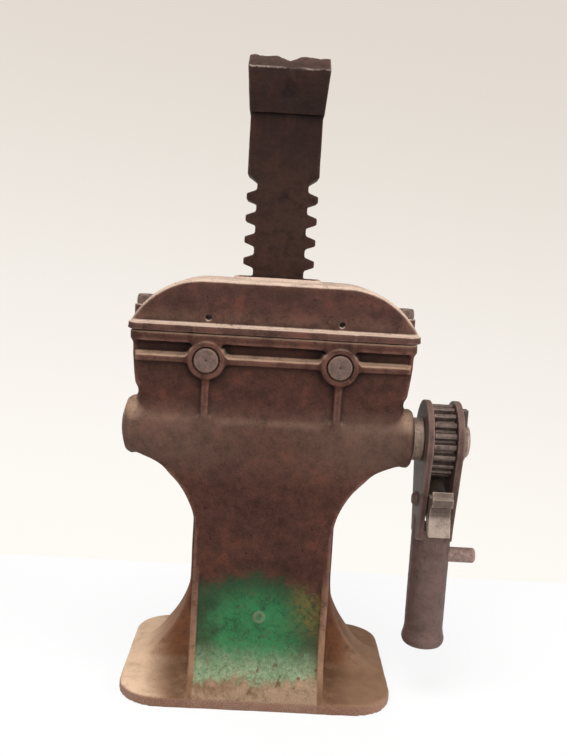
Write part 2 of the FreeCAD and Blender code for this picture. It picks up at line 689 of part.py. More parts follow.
def cover_bolt(x):
    """Square-headed bolt whose head is rounded over at the top and the corners."""
    flats = BOLT_HEAD_FLATS / 2
    middle = BOLT_BOSS_TOP + BOLT_HEAD_HEIGHT / 2
    head = block(x - flats, x + flats, BOLT_Y - flats, BOLT_Y + flats,
                 BOLT_BOSS_TOP, BOLT_BOSS_TOP + BOLT_HEAD_HEIGHT)
    crown = Part.makeCone(BOLT_HEAD_ROUND, BOLT_HEAD_CROWN, BOLT_HEAD_HEIGHT / 2, Vector(x, BOLT_Y, middle))
    trunk = rod_z(BOLT_HEAD_ROUND, BOLT_BOSS_TOP, middle, x, BOLT_Y)
    head = head.common(trunk.fuse(crown))
    foot = JOINT_HEIGHT - BOLT_DEPTH + 2 * SINK
    return head.fuse(rod_z(BOLT_RADIUS - RUN_FIT, foot, BOLT_BOSS_TOP, x, BOLT_Y))


def bar_half_outline():
    """Right half of the lifting bar's front view: teeth below, plain shank above."""
    slope = math.tan(GEAR_PRESSURE)
    half_pitch_width = (PITCH - GEAR_BACKLASH) / 4
    tip = half_pitch_width - BAR_ADDENDUM * slope
    root = half_pitch_width + BAR_DEDENDUM * slope
    points = [(0, BAR_FOOT_Z), (BAR_ROOT_HALF, BAR_FOOT_Z)]
    for k in reversed(range(BAR_TEETH)):
        z = TOP_TOOTH_Z - k * PITCH
        points += [(BAR_ROOT_HALF, z - root), (BAR_TIP_HALF, z - tip),
                   (BAR_TIP_HALF, z + tip), (BAR_ROOT_HALF, z + root)]
    neck = TOP_TOOTH_Z + PITCH - root
    points += [(BAR_ROOT_HALF, neck), (BAR_TIP_HALF, neck + BAR_TIP_HALF - BAR_ROOT_HALF - BAR_NECK_BEVEL),
               (BAR_TIP_HALF, HEAD_FOOT_Z + SINK), (0, HEAD_FOOT_Z + SINK)]
    return points


def head_section(half_x, half_y, z):
    return Part.makePolygon([Vector(-half_x, -half_y, z), Vector(half_x, -half_y, z),
                             Vector(half_x, half_y, z), Vector(-half_x, half_y, z),
                             Vector(-half_x, -half_y, z)])


def lifting_head():
    top = HEAD_FOOT_Z + HEAD_HEIGHT
    bevel = top - HEAD_BEVEL
    foot_face = head_section(HEAD_FOOT_HALF, HEAD_FOOT_DEPTH, HEAD_FOOT_Z)
    wide_face = head_section(HEAD_TOP_HALF, HEAD_TOP_DEPTH, bevel)
    top_face = head_section(HEAD_TOP_HALF - HEAD_CROWN_INSET, HEAD_TOP_DEPTH - HEAD_BEVEL_DEPTH, top)
    rest = Part.makeLoft([foot_face, wide_face], True, True)
    cap = Part.makeLoft([wide_face, top_face], True, True)
    groove = outline(front_view, (-GROOVE_HALF, top), (0, top - GROOVE_DEPTH), (GROOVE_HALF, top),
                     (GROOVE_HALF, top + SINK), (-GROOVE_HALF, top + SINK))
    groove = along_y(groove, -HEAD_TOP_DEPTH - SINK, HEAD_TOP_DEPTH + SINK)
    slope = (HEAD_TOP_DEPTH - HEAD_FOOT_DEPTH) / (HEAD_HEIGHT - HEAD_BEVEL)
    front = HEAD_FOOT_DEPTH + DIMPLE_RISE * slope
    dimple = Part.makeSphere(DIMPLE_RADIUS, Vector(0, -front - DIMPLE_RADIUS + DIMPLE_DEPTH,
                                                   HEAD_FOOT_Z + DIMPLE_RISE))
    return rest.fuse(cap).cut(groove.fuse(dimple))


def lifting_bar():
    right = bar_half_outline()
    left = [(-x, z) for x, z in reversed(right[1:-1])]
    points = [front_view(x, z) for x, z in right + left + [right[0]]]
    bar = along_y(Part.Face(Part.makePolygon(points)), -BAR_HALF_DEPTH, BAR_HALF_DEPTH)
    return bar.fuse(lifting_head()).removeSplitter()


def pinion():
    """Right-hand pinion with the long hub that carries its worm wheel."""
    thickness = PITCH / 2 - GEAR_BACKLASH / 2
    wire = gear_wire(PINION_TEETH, PINION_RADIUS, PINION_RADIUS + PINION_ADDENDUM,
                     PINION_RADIUS - PINION_DEDENDUM, GEAR_PRESSURE, thickness, math.pi,
                     (PIN_X, 0, PIN_HEIGHT), True)
    teeth = along_y(Part.Face(wire), -PINION_REACH, PINION_REACH)
    hub = rod_y(HUB_RADIUS, CAVITY_FRONT + WASHER_THICK + END_PLAY, -PINION_REACH, PIN_X, PIN_HEIGHT)
    flange = rod_y(PINION_RADIUS - PINION_DEDENDUM, WHEEL_REAR, -PINION_REACH, PIN_X, PIN_HEIGHT)
    body = teeth.fuse([hub, flange])
    body = body.cut(rod_y(PIN_RADIUS + RUN_FIT, CASE_FRONT, CASE_REAR, PIN_X, PIN_HEIGHT))
    return body.cut(wheel_key())


def wheel_key():
    middle = PIN_HEIGHT + HUB_RADIUS
    half = KEY_SIZE / 2
    return block(PIN_X - half, PIN_X + half, WHEEL_FRONT, WHEEL_REAR, middle - half, middle + half)


def worm_wheel():
    """Right-hand worm wheel. Its teeth lean to follow the right-hand worm below it."""
    thickness = WORM_LEAD / 2
    lean = WHEEL_WIDTH * WORM_LEAD / (2 * math.pi * WORM_PITCH_RADIUS) / WHEEL_PITCH_RADIUS
    ends = []
    for y, turn in ((WHEEL_FRONT, lean / 2), (WHEEL_REAR, -lean / 2)):
        ends.append(gear_wire(WHEEL_TEETH, WHEEL_PITCH_RADIUS, WHEEL_PITCH_RADIUS + WHEEL_ADDENDUM,
                              WHEEL_PITCH_RADIUS - WHEEL_DEDENDUM, WORM_PRESSURE, thickness,
                              -math.pi / 2 + turn, (PIN_X, y, PIN_HEIGHT), False))
    wheel = Part.makeLoft(ends, True, True)
    dish_outer = WHEEL_PITCH_RADIUS - WHEEL_DEDENDUM - WHEEL_DISH_RIM
    dish_inner = HUB_RADIUS + WHEEL_DISH_RIM
    for y0, y1 in ((WHEEL_FRONT - SINK, WHEEL_FRONT + WHEEL_DISH_DEPTH),
                   (WHEEL_REAR - WHEEL_DISH_DEPTH, WHEEL_REAR + SINK)):
        dish = rod_y(dish_outer, y0, y1, PIN_X, PIN_HEIGHT)
        wheel = wheel.cut(dish.cut(rod_y(dish_inner, y0, y1, PIN_X, PIN_HEIGHT)))
    wheel = wheel.cut(rod_y(HUB_RADIUS, CASE_FRONT, CASE_REAR, PIN_X, PIN_HEIGHT))
    return wheel.cut(wheel_key())


def wheel_pin(x):
    front = BOSS_FACE - PIN_PROUD
    rear = CASE_REAR + RIM_PROUD + PIN_TAIL
    pin = rod_y(PIN_RADIUS, front, rear, x, PIN_HEIGHT)
    ends = [e for e in pin.Edges if e.BoundBox.YLength < 0.01]
    pin = pin.makeChamfer(PIN_CHAMFER, ends)
    drill = Part.makeCone(PIN_DRILL_RADIUS, 0, PIN_DRILL_DEPTH, Vector(x, front, PIN_HEIGHT), Vector(0, 1, 0))
    return pin.cut(drill)


def pin_washers():
    rings = []
    for side in (-1, 1):
        for y in (CAVITY_FRONT, CAVITY_REAR - WASHER_THICK):
            ring = rod_y(WASHER_RADIUS, y, y + WASHER_THICK, side * PIN_X, PIN_HEIGHT)
            rings.append(ring.cut(rod_y(PIN_RADIUS + RUN_FIT, y - SINK, y + WASHER_THICK + SINK,
                                        side * PIN_X, PIN_HEIGHT)))
    return Part.makeCompound(rings)


def worm():
    """Right-hand worm sleeve, centred under the right-hand wheel, with one thread."""
    length = WORM_TURNS * WORM_LEAD
    half_pitch = (WORM_LEAD / 2 - WORM_BACKLASH) / 2
    slope = math.tan(WORM_PRESSURE)
    foot = WORM_ROOT - WORM_THREAD_SINK
    wide = half_pitch + (WORM_DEDENDUM + WORM_THREAD_SINK) * slope
    narrow = half_pitch - WORM_ADDENDUM * slope
    helix = Part.makeHelix(WORM_LEAD, length, WORM_PITCH_RADIUS)
    section = Part.makePolygon([Vector(foot, 0, -wide), Vector(WORM_TIP, 0, -narrow),
                                Vector(WORM_TIP, 0, narrow), Vector(foot, 0, wide), Vector(foot, 0, -wide)])
    thread = Part.Wire(helix).makePipeShell([section], True, True)
    thread.rotate(Vector(0, 0, 0), Vector(0, 0, 1), 180)
    thread.rotate(Vector(0, 0, 0), Vector(0, 1, 0), 90)
    thread.translate(Vector(PIN_X - length / 2, WORM_Y, WORM_Z))
    sleeve = rod_x(WORM_ROOT, SHOULDER_HALF, BUSH_START - END_PLAY, WORM_Y, WORM_Z)
    body = sleeve.fuse(thread)
    body = body.cut(rod_x(SHAFT_RADIUS, 0, BUSH_START, WORM_Y, WORM_Z))
    return body.cut(worm_pin(0))


def worm_pin(trim):
    """Cross pin through the plain end of the right-hand worm and the shaft."""
    reach = WORM_ROOT - trim
    return rod_z(WORM_PIN_RADIUS, WORM_Z - reach, WORM_Z + reach, WORM_PIN_X, WORM_Y)


def end_cotter_slot():
    """Room for the flat key that runs through the end collar and the shaft."""
    x = END_COLLAR_X + END_COLLAR_LENGTH / 2
    reach = END_COLLAR_RADIUS + COTTER_REACH
    return block(x - COTTER_THICK / 2, x + COTTER_THICK / 2,
                 WORM_Y - COTTER_WIDTH / 2, WORM_Y + COTTER_WIDTH / 2, WORM_Z - reach, WORM_Z + reach)


def collar_pin():
    x = (TUBE_RIGHT + HANDLE_X - CHEEK_OUT) / 2
    reach = SIDE_COLLAR_RADIUS - COLLAR_PIN_SHORT
    return rod_z(COLLAR_PIN_RADIUS, WORM_Z - reach, WORM_Z + reach, x, WORM_Y)


def ratchet_key():
    top = WORM_Z + SHAFT_RADIUS
    return block(HANDLE_X - RATCHET_HALF, HANDLE_X + RATCHET_HALF,
                 WORM_Y - RATCHET_KEY / 2, WORM_Y + RATCHET_KEY / 2,
                 top - RATCHET_KEY / 2, top + RATCHET_KEY / 2)


def end_cotter():
    x = END_COLLAR_X + END_COLLAR_LENGTH / 2
    tongue = block(x - COTTER_THICK / 2, x + COTTER_THICK / 2,
                   WORM_Y - COTTER_WIDTH / 2, WORM_Y + COTTER_WIDTH / 2,
                   WORM_Z, WORM_Z + END_COLLAR_RADIUS + COTTER_PROUD)
    return end_cotter_slot().fuse(tongue).removeSplitter()


def worm_shaft():
    left = TUBE_LEFT + PLUG_LENGTH + END_PLAY
    right = END_COLLAR_X + END_COLLAR_LENGTH
    bevel = SHAFT_CHAMFER
    shaft = revolve_x([(left, 0), (left, SHAFT_RADIUS - bevel), (left + bevel, SHAFT_RADIUS),
                       (-SHOULDER_HALF, SHAFT_RADIUS), (-SHOULDER_HALF, SHOULDER_RADIUS),
                       (SHOULDER_HALF, SHOULDER_RADIUS), (SHOULDER_HALF, SHAFT_RADIUS),
                       (right - bevel, SHAFT_RADIUS), (right, SHAFT_RADIUS - bevel), (right, 0)],
                      WORM_Y, WORM_Z)
    return shaft.cut([worm_pin(0), mirrored(worm_pin(0)), collar_pin(), ratchet_key(), end_cotter_slot()])


def worm_pins():
    return Part.makeCompound([mirrored(worm_pin(SHORT_PIN)), worm_pin(SHORT_PIN)])


def left_bush():
    start = TUBE_LEFT + PLUG_LENGTH + PLUG_TO_BUSH
    return ring_x(WORM_BORE, SHAFT_RADIUS + RUN_FIT, start, -BUSH_START)


def right_bush():
    return ring_x(RIGHT_BUSH_RADIUS, SHAFT_RADIUS + RUN_FIT, BUSH_START, TUBE_RIGHT)


def ring_x(outer, inner, x0, x1):
    return rod_x(outer, x0, x1, WORM_Y, WORM_Z).cut(rod_x(inner, x0 - SINK, x1 + SINK, WORM_Y, WORM_Z))


def tube_plug():
    """Screwed plug that closes the left end of the worm tube, slightly domed, with a square socket."""
    inner = TUBE_LEFT + PLUG_LENGTH
    crown = TUBE_LEFT - PLUG_DOME
    plug = revolve_x([(inner, 0), (inner, WORM_BORE), (TUBE_LEFT, WORM_BORE),
                      (crown, WORM_BORE * 0.55), (crown, 0)], WORM_Y, WORM_Z)
    half = PLUG_SOCKET / 2
    return plug.cut(block(crown - SINK, TUBE_LEFT + PLUG_LENGTH / 2,
                          WORM_Y - half, WORM_Y + half, WORM_Z - half, WORM_Z + half))


def shaft_collar():
    ring = ring_x(SIDE_COLLAR_RADIUS, SHAFT_RADIUS, TUBE_RIGHT + END_PLAY, HANDLE_X - CHEEK_OUT - END_PLAY)
    return ring.cut(collar_pin())


def end_collar():
    stop = END_COLLAR_X + END_COLLAR_LENGTH
    bevel = END_COLLAR_CHAMFER
    ring = revolve_x([(END_COLLAR_X, SHAFT_RADIUS), (END_COLLAR_X, END_COLLAR_RADIUS),
                      (stop - bevel, END_COLLAR_RADIUS), (stop, END_COLLAR_RADIUS - bevel),
                      (stop, SHAFT_RADIUS)], WORM_Y, WORM_Z)
    return ring.cut(end_cotter_slot())


def polar(radius, degrees):
    """Side-view point about the worm shaft; 0 degrees is straight down, positive to the back."""
    angle = math.radians(degrees)
    return (WORM_Y + radius * math.sin(angle), WORM_Z - radius * math.cos(angle))


def across_fork(radius, z):
    """Round cutter along X through both cheeks of the handle."""
    reach = CHEEK_OUT + SINK
    return rod_x(radius, HANDLE_X - reach, HANDLE_X + reach, WORM_Y, z)


def ratchet_wheel():
    pitch = 360 / RATCHET_TEETH
    tip = math.degrees(RATCHET_TIP_WIDTH / 2 / RATCHET_RADIUS)
    root = math.degrees(RATCHET_ROOT_WIDTH / 2 / RATCHET_ROOT)
    points = []
    for k in range(RATCHET_TEETH):
        middle = k * pitch
        points += [polar(RATCHET_ROOT, middle - root), polar(RATCHET_RADIUS - RATCHET_CROWN, middle - tip),
                   polar(RATCHET_RADIUS, middle), polar(RATCHET_RADIUS - RATCHET_CROWN, middle + tip),
                   polar(RATCHET_ROOT, middle + root)]
    teeth = along_x(outline(side_view, *points), HANDLE_X - RATCHET_HALF, HANDLE_X + RATCHET_HALF)
    hub = rod_x(RATCHET_HUB, HANDLE_X - CHEEK_OUT, HANDLE_X + CHEEK_OUT, WORM_Y, WORM_Z)
    wheel = teeth.fuse(hub).cut(across_fork(SHAFT_RADIUS, WORM_Z))
    return wheel.cut(ratchet_key())


def tangent_point(point, radius):
    """Where a line from a point below and behind touches the circle of the eye, on the back."""
    reach = math.hypot(*point)
    angle = math.atan2(point[1], point[0]) + math.acos(radius / reach)
    return (radius * math.cos(angle), radius * math.sin(angle))


def fork_plate(x0, x1):
    """One cheek of the handle: a round eye that runs down into the socket."""
    knee = (SOCKET_RADIUS + KNEE_OUT, -SLOT_BOTTOM + KNEE_RISE)
    touch = tangent_point(knee, EYE_RADIUS)
    foot = -SLOT_BOTTOM - CHEEK_FOOT_DROP
    inset = SOCKET_RADIUS - CHEEK_FOOT_INSET
    points = [(-touch[0], touch[1]), (-knee[0], knee[1]), (-inset, foot), (inset, foot), knee, touch]
    arm = outline(side_view, *[(WORM_Y + y, WORM_Z + z) for y, z in points])
    return along_x(arm, x0, x1).fuse(rod_x(EYE_RADIUS, x0, x1, WORM_Y, WORM_Z))


def lever_socket():
    """Round socket with a rolled mouth below and a blind bore for the lever."""
    bottom = -SOCKET_LENGTH
    bead = bottom + BEAD_HEIGHT
    top = -SLOT_BOTTOM + SOCKET_CROWN
    face = outline(front_view, (SOCKET_BORE, bottom + SOCKET_MOUTH), (SOCKET_BORE + SOCKET_MOUTH, bottom),
                   (BEAD_RADIUS - BEAD_ROUND, bottom),
                   ((BEAD_RADIUS, bottom + BEAD_HEIGHT * 0.3),
                    (BEAD_RADIUS - BEAD_ROUND / 3, bottom + BEAD_HEIGHT * 0.6)),
                   (SOCKET_RADIUS, bead), (SOCKET_RADIUS, top), (0, top), (0, -SOCKET_TOP + SOCKET_POINT),
                   (SOCKET_BORE, -SOCKET_TOP))
    solid = face.revolve(Vector(0, 0, 0), Vector(0, 0, 1), 360)
    solid.translate(Vector(HANDLE_X, WORM_Y, WORM_Z))
    return solid


def handle():
    left = fork_plate(HANDLE_X - CHEEK_OUT, HANDLE_X - CHEEK_GAP_HALF)
    right = fork_plate(HANDLE_X + CHEEK_GAP_HALF, HANDLE_X + CHEEK_OUT)
    slot = block(HANDLE_X - CHEEK_GAP_HALF, HANDLE_X + CHEEK_GAP_HALF, WORM_Y - EYE_RADIUS, WORM_Y + EYE_RADIUS,
                 WORM_Z - SLOT_BOTTOM, WORM_Z)
    body = lever_socket().cut(slot).fuse([left, right])
    body = body.cut([across_fork(RATCHET_HUB + RUN_FIT, WORM_Z), across_fork(PAWL_PIN_RADIUS, PAWL_Z),
                     plunger_hole(), crank_peg()])
    return body.removeSplitter()


def crank_peg():
    """Round peg pressed into the socket's wall, clear of its bore."""
    inner = HANDLE_X + SOCKET_BORE + END_PLAY
    end = HANDLE_X + SOCKET_RADIUS + PEG_LENGTH
    return revolve_x([(inner, 0), (inner, PEG_RADIUS), (end - PEG_CHAMFER, PEG_RADIUS),
                      (end, PEG_RADIUS - PEG_CHAMFER), (end, 0)], WORM_Y, WORM_Z - PEG_DROP)


def plunger_hole():
    top = WORM_Z - SLOT_BOTTOM
    return rod_z(PLUNGER_RADIUS + RUN_FIT, top - PLUNGER_HOLE_DEPTH, top + SINK, HANDLE_X, WORM_Y)


def plunger_top():
    return PAWL_Z - PAWL_HUB - PLUNGER_GAP


def pawl_plunger():
    top = plunger_top()
    return rod_z(PLUNGER_RADIUS, top - PLUNGER_LENGTH, top, HANDLE_X, WORM_Y)


def pawl_spring():
    """Round wire coiled in short straight steps, one unbroken tube."""
    floor = WORM_Z - SLOT_BOTTOM - PLUNGER_HOLE_DEPTH
    foot = floor + SPRING_WIRE / 2 + PLUNGER_GAP
    crown = plunger_top() - PLUNGER_LENGTH - SPRING_WIRE / 2 - PLUNGER_GAP
    radius = PLUNGER_RADIUS - SPRING_WIRE
    steps = SPRING_TURNS * SPRING_SIDES
    points = []
    for k in range(steps + 1):
        angle = 2 * math.pi * k / SPRING_SIDES
        points.append(Vector(HANDLE_X + radius * math.cos(angle), WORM_Y + radius * math.sin(angle),
                             foot + (crown - foot) * k / steps))
    ring = Part.Wire(Part.makeCircle(SPRING_WIRE / 2, points[0], points[1] - points[0]))
    coil = Part.makePolygon(points).makePipeShell([ring], True, True, 1)
    print("spring gap", round((crown - foot) / SPRING_TURNS - SPRING_WIRE, 3))
    return coil


def turned(point, degrees):
    """Side-view point about the pawl pin, turned by the right-hand rule about X."""
    angle = math.radians(degrees)
    y = point[0] - WORM_Y
    z = point[1] - PAWL_Z
    return (WORM_Y + y * math.cos(angle) - z * math.sin(angle),
            PAWL_Z + y * math.sin(angle) + z * math.cos(angle))


def pawl_nose(side, swing):
    """Arm and tooth that bite two and a half ratchet teeth from straight down.

    Points are laid out in the biting pose, as distance from the shaft and offset to the side,
    then swung back to the free pose.
    """
    lean = math.radians(2.5 * 360 / RATCHET_TEETH)
    clear = RATCHET_RADIUS + PAWL_CLEAR
    tip = RATCHET_RADIUS - PAWL_BITE
    hub = (PAWL_DROP * math.cos(lean), -PAWL_DROP * math.sin(lean))
    seat = hub[1] + PAWL_ARM_SEAT
    layout = [(tip, -PAWL_TIP_HALF), (tip, PAWL_TIP_HALF), (clear, PAWL_NECK_HALF),
              (clear + PAWL_BROW_DROP, PAWL_BROW_HALF), (clear + PAWL_ARM_HALF, PAWL_NECK_HALF),
              (hub[0] + PAWL_ARM_HALF, seat), (hub[0] - PAWL_ARM_HALF, seat),
              (clear + PAWL_CLEAR, -PAWL_BROW_HALF), (clear, -PAWL_NECK_HALF)]
    points = []
    for d, s in layout:
        y = d * math.sin(lean) + s * math.cos(lean)
        z = -d * math.cos(lean) + s * math.sin(lean)
        points.append(turned((WORM_Y + side * y, WORM_Z + z), -side * swing))
    return along_x(outline(side_view, *points), HANDLE_X - PAWL_HALF, HANDLE_X + PAWL_HALF)


def pawl_tab():
    """Thumb tab below the front arm, joined to it under a hollow brow."""
    root = (-PAWL_HUB * 0.64, -PAWL_HUB * 0.75)
    points = [root, (-PAWL_TAB_REACH + PAWL_TAB_THICK, -PAWL_TAB_DROP), (-PAWL_TAB_REACH, -PAWL_TAB_DROP),
              (-PAWL_TAB_REACH + PAWL_TAB_HOLLOW, -PAWL_TAB_THICK / 2), (-PAWL_TAB_REACH, PAWL_TAB_THICK)]
    tab = outline(side_view, *[(WORM_Y + y, PAWL_Z + z) for y, z in points])
    return along_x(tab, HANDLE_X - PAWL_HALF, HANDLE_X + PAWL_HALF)


def pawl():
    hub = rod_x(PAWL_HUB, HANDLE_X - PAWL_HALF, HANDLE_X + PAWL_HALF, WORM_Y, PAWL_Z)
    body = hub.fuse([pawl_tab(), pawl_nose(1, PAWL_REAR_SWING), pawl_nose(-1, PAWL_FRONT_SWING)])
    return body.cut(across_fork(PAWL_PIN_RADIUS + RUN_FIT, PAWL_Z)).removeSplitter()


def pawl_pin():
    """Pin with a riveted head on each cheek."""
    crown = CHEEK_OUT + PAWL_HEAD_HEIGHT
    half = [(CHEEK_OUT, PAWL_PIN_RADIUS), (CHEEK_OUT, PAWL_HEAD_RADIUS),
            (crown, PAWL_HEAD_RADIUS * 0.6), (crown, 0)]
    points = half + [(-x, radius) for x, radius in reversed(half)]
    pin = revolve_x(points, WORM_Y, PAWL_Z)
    pin.translate(Vector(HANDLE_X, 0, 0))
    return pin


def build():
    os.makedirs("parts", exist_ok=True)
    right_pinion = pinion()
    right_wheel = worm_wheel()
    right_worm = worm()
    save("body_casting", body_casting())
    save("gear_cover", gear_cover())
    save("cover_bolts", Part.makeCompound([cover_bolt(-BOLT_X), cover_bolt(BOLT_X)]))
    save("lifting_bar", lifting_bar())
    save("right_pinion", right_pinion)
    save("left_pinion", mirrored(right_pinion))
    save("right_worm_wheel", right_wheel)
    save("left_worm_wheel", mirrored(right_wheel))
    save("right_worm", right_worm)
    save("left_worm", mirrored(right_worm))
    save("left_wheel_pin", wheel_pin(-PIN_X))
    save("right_wheel_pin", wheel_pin(PIN_X))
    save("pin_washers", pin_washers())
    save("right_wheel_key", wheel_key())
    save("left_wheel_key", mirrored(wheel_key()))
    save("worm_shaft", worm_shaft())
    save("worm_pins", worm_pins())
    save("left_bush", left_bush())
    save("right_bush", right_bush())
    save("tube_plug", tube_plug())
    save("shaft_collar", shaft_collar())
    save("collar_pin", collar_pin())
    save("ratchet_wheel", ratchet_wheel())
    save("ratchet_key", ratchet_key())
    save("end_collar", end_collar())
    save("end_cotter", end_cotter())
    save("handle", handle())
    save("crank_peg", crank_peg())
    save("pawl", pawl())
    save("pawl_pin", pawl_pin())
    save("pawl_plunger", pawl_plunger())
    save("pawl_spring", pawl_spring())


if __name__ == "__main__":
    build()
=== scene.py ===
import bpy
import math
import numpy as np
from mathutils import Matrix, Vector


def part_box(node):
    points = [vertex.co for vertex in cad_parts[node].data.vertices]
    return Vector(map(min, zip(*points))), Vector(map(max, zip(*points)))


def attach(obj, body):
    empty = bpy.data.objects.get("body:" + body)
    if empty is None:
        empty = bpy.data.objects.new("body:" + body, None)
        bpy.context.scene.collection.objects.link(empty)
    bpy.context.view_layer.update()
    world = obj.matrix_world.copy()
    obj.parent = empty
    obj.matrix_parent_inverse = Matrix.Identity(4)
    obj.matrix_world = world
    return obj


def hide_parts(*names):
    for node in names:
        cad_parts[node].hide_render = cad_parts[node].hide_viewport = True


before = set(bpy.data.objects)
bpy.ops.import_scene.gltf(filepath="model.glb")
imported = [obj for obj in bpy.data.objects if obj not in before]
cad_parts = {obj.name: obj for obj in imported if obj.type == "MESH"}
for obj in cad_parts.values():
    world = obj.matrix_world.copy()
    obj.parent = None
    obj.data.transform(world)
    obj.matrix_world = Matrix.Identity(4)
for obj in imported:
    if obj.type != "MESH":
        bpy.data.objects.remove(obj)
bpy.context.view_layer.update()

bl_info = {
    "name": "Track jack",
    "version": (1, 0, 0),
    "blender": (4, 5, 0),
    "location": "View3D > Sidebar > Track jack",
    "description": "Cast, forged and cut surfaces of a worm-driven track jack",
    "category": "Object",
}

# Photograph: frame and focal length in pixels, the camera's place in metres, its turn in degrees
FRAME_WIDTH = 567
FRAME_HEIGHT = 756
FOCAL = 894.02
CAMERA_PLACE = (-0.00466, -0.86685, 0.42349)
CAMERA_YAW = 1.054
CAMERA_PITCH = 8.17
CAMERA_ROLL = 3.389
SENSOR_WIDTH = 36.0
CLIP_START = 0.01
CLIP_END = 50.0

# Stage: the table's limits, then each lamp's name, place, aim, width and share of the power
TABLE_SIDE = 3
TABLE_FRONT = -2
TABLE_EDGE = 0.284
LAMPS = (
    ("top_lamp", (-0.25, -0.55, 1.75), (0, 0, 0.3), 1.0, 1.0),
    ("front_lamp", (-0.3, -1.6, 0.9), (0, 0, 0.3), 0.8, 0.5),
    ("side_lamp", (1.3, -0.7, 0.6), (0, 0, 0.2), 0.7, 0.6),
    ("rear_lamp", (-0.9, 1.5, 1.3), (0, 0, 0.3), 1.0, 0.6),
)
TABLE_WHITE = (0.9, 0.9, 0.9)
TABLE_GLOW = (1.0, 1.0, 1.0)
TABLE_GLOW_SHARE = 0.8
ROOM_LIGHT = (1.0, 0.99, 0.97)
ROOM_LOW = (1.0, 0.97, 0.92)
ROOM_HIGH = (0.75, 0.685, 0.62)

# Places on the jack that its surfaces need, in metres
PIN_X = 0.060325
PIN_HEIGHT = 0.321
PIN_GAP = (0.0108, 0.0113, 0.0122, 0.0131)
RING_Z = 0.078
TUBE_Y = -0.042
TUBE_Z = 0.254325
TUBE_BORE = 0.0225
HEAD_HEIGHT = 0.0515
HEAD_FOOT_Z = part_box("lifting_bar")[1][2] - HEAD_HEIGHT
HEAD_TOP_Z = HEAD_FOOT_Z + HEAD_HEIGHT
HEAD_FACE_Y = -0.02
BEVEL_Z = HEAD_FOOT_Z + 0.04
DIMPLE_Z = HEAD_FOOT_Z + 0.0175
PAWL_CREASE_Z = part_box("pawl")[0][2] + 0.019

# Beaten head: depth and band of the chips along its top and of the dents along its bevel,
# and the hollow under its dimple
CHIP_DEPTH = 0.0017
DENT_DEPTH = 0.0013
BEATEN_BAND = 0.005
HOLLOW_WIDTH = 0.0095
HOLLOW_HEIGHT = 0.0062
HOLLOW_DEPTH = 0.0017
TAB_FLARE = 0.055

# Relief kept on the skins for wear, painted highlight and painted shade: its reach against the grid,
# and how much broader the broad kind looks
RELIEF_REACH = 0.9
RELIEF_ROUNDS = 8
BROAD_ROUNDS = 9
BROAD_REACH = 3.2
RELIEF_FLOOR = 0.12
MELT_ROUNDS = 70

# Value noise: how a cell's corner becomes a number
CELL_KEY = (73856093, 19349663, 83492791)
SEED_KEY = 2654435761
FIRST_KEY = 2246822519
SECOND_KEY = 3266489917
LOW_BITS = 0xFFFFFFFF

# Cast and forged surfaces: linear colours (dust also stands in for painted light from above, the
# pale edge colour for wear and painted highlight), share of dust lying on top, size of the grain
SKINS = {
    "cast_body": {"dark": (0.016, 0.0055, 0.0036), "light": (0.088, 0.036, 0.025),
                  "dust": (0.4, 0.26, 0.18), "dust_amount": 0.9, "grain": 0.0011},
    # The cover's pale dust also paints light along the top of its dome
    "cast_cover": {"dark": (0.019, 0.007, 0.005), "light": (0.094, 0.042, 0.031),
                   "dust": (0.62, 0.46, 0.36), "dust_amount": 0.95, "grain": 0.0011},
    "bar_steel": {"dark": (0.007, 0.0026, 0.002), "light": (0.03, 0.0125, 0.009),
                  "dust": (0.11, 0.068, 0.05), "dust_amount": 0.5, "grain": 0.0009,
                  "pale_edge": (0.1, 0.062, 0.05)},
    "handle_iron": {"dark": (0.036, 0.0165, 0.0135), "light": (0.105, 0.057, 0.047),
                    "dust": (0.26, 0.17, 0.14), "dust_amount": 0.35, "grain": 0.0009,
                    "pale_edge": (0.25, 0.17, 0.145)},
    "pawl_steel": {"dark": (0.05, 0.032, 0.024), "light": (0.17, 0.12, 0.095),
                   "dust": (0.34, 0.26, 0.21), "dust_amount": 0.4, "grain": 0.0008,
                   "pale_edge": (0.52, 0.41, 0.34)},
}

# Turned and cut metal: dark and light colour, metallic share, roughness
STEELS = {
    "bolt_steel": ((0.06, 0.035, 0.027), (0.17, 0.11, 0.085), 0.2, 0.5),
    "peg_steel": ((0.11, 0.066, 0.053), (0.31, 0.205, 0.17), 0.2, 0.42),
    "ratchet_steel": ((0.03, 0.019, 0.015), (0.17, 0.12, 0.1), 0.5, 0.32),
    "collar_steel": ((0.12, 0.075, 0.055), (0.34, 0.25, 0.2), 0.5, 0.36),
    "cotter_steel": ((0.03, 0.018, 0.016), (0.1, 0.065, 0.055), 0.2, 0.5),
    "pin_steel": ((0.035, 0.017, 0.012), (0.14, 0.078, 0.056), 0.0, 0.5),
    "gear_steel": ((0.05, 0.045, 0.04), (0.3, 0.28, 0.26), 0.85, 0.28),
    "wheel_iron": ((0.04, 0.035, 0.03), (0.2, 0.18, 0.16), 0.6, 0.4),
    "shaft_steel": ((0.09, 0.075, 0.065), (0.28, 0.24, 0.21), 0.8, 0.3),
    "bush_bronze": ((0.2, 0.12, 0.045), (0.5, 0.34, 0.16), 0.8, 0.35),
}
DRESSED = (
    ("gear_steel", ("left_pinion", "right_pinion", "left_worm", "right_worm")),
    ("wheel_iron", ("left_worm_wheel", "right_worm_wheel")),
    ("shaft_steel", ("worm_shaft", "worm_pins", "ratchet_key", "left_wheel_key",
                     "right_wheel_key", "pin_washers", "pawl_plunger", "pawl_spring")),
    ("bush_bronze", ("left_bush", "right_bush")),
)

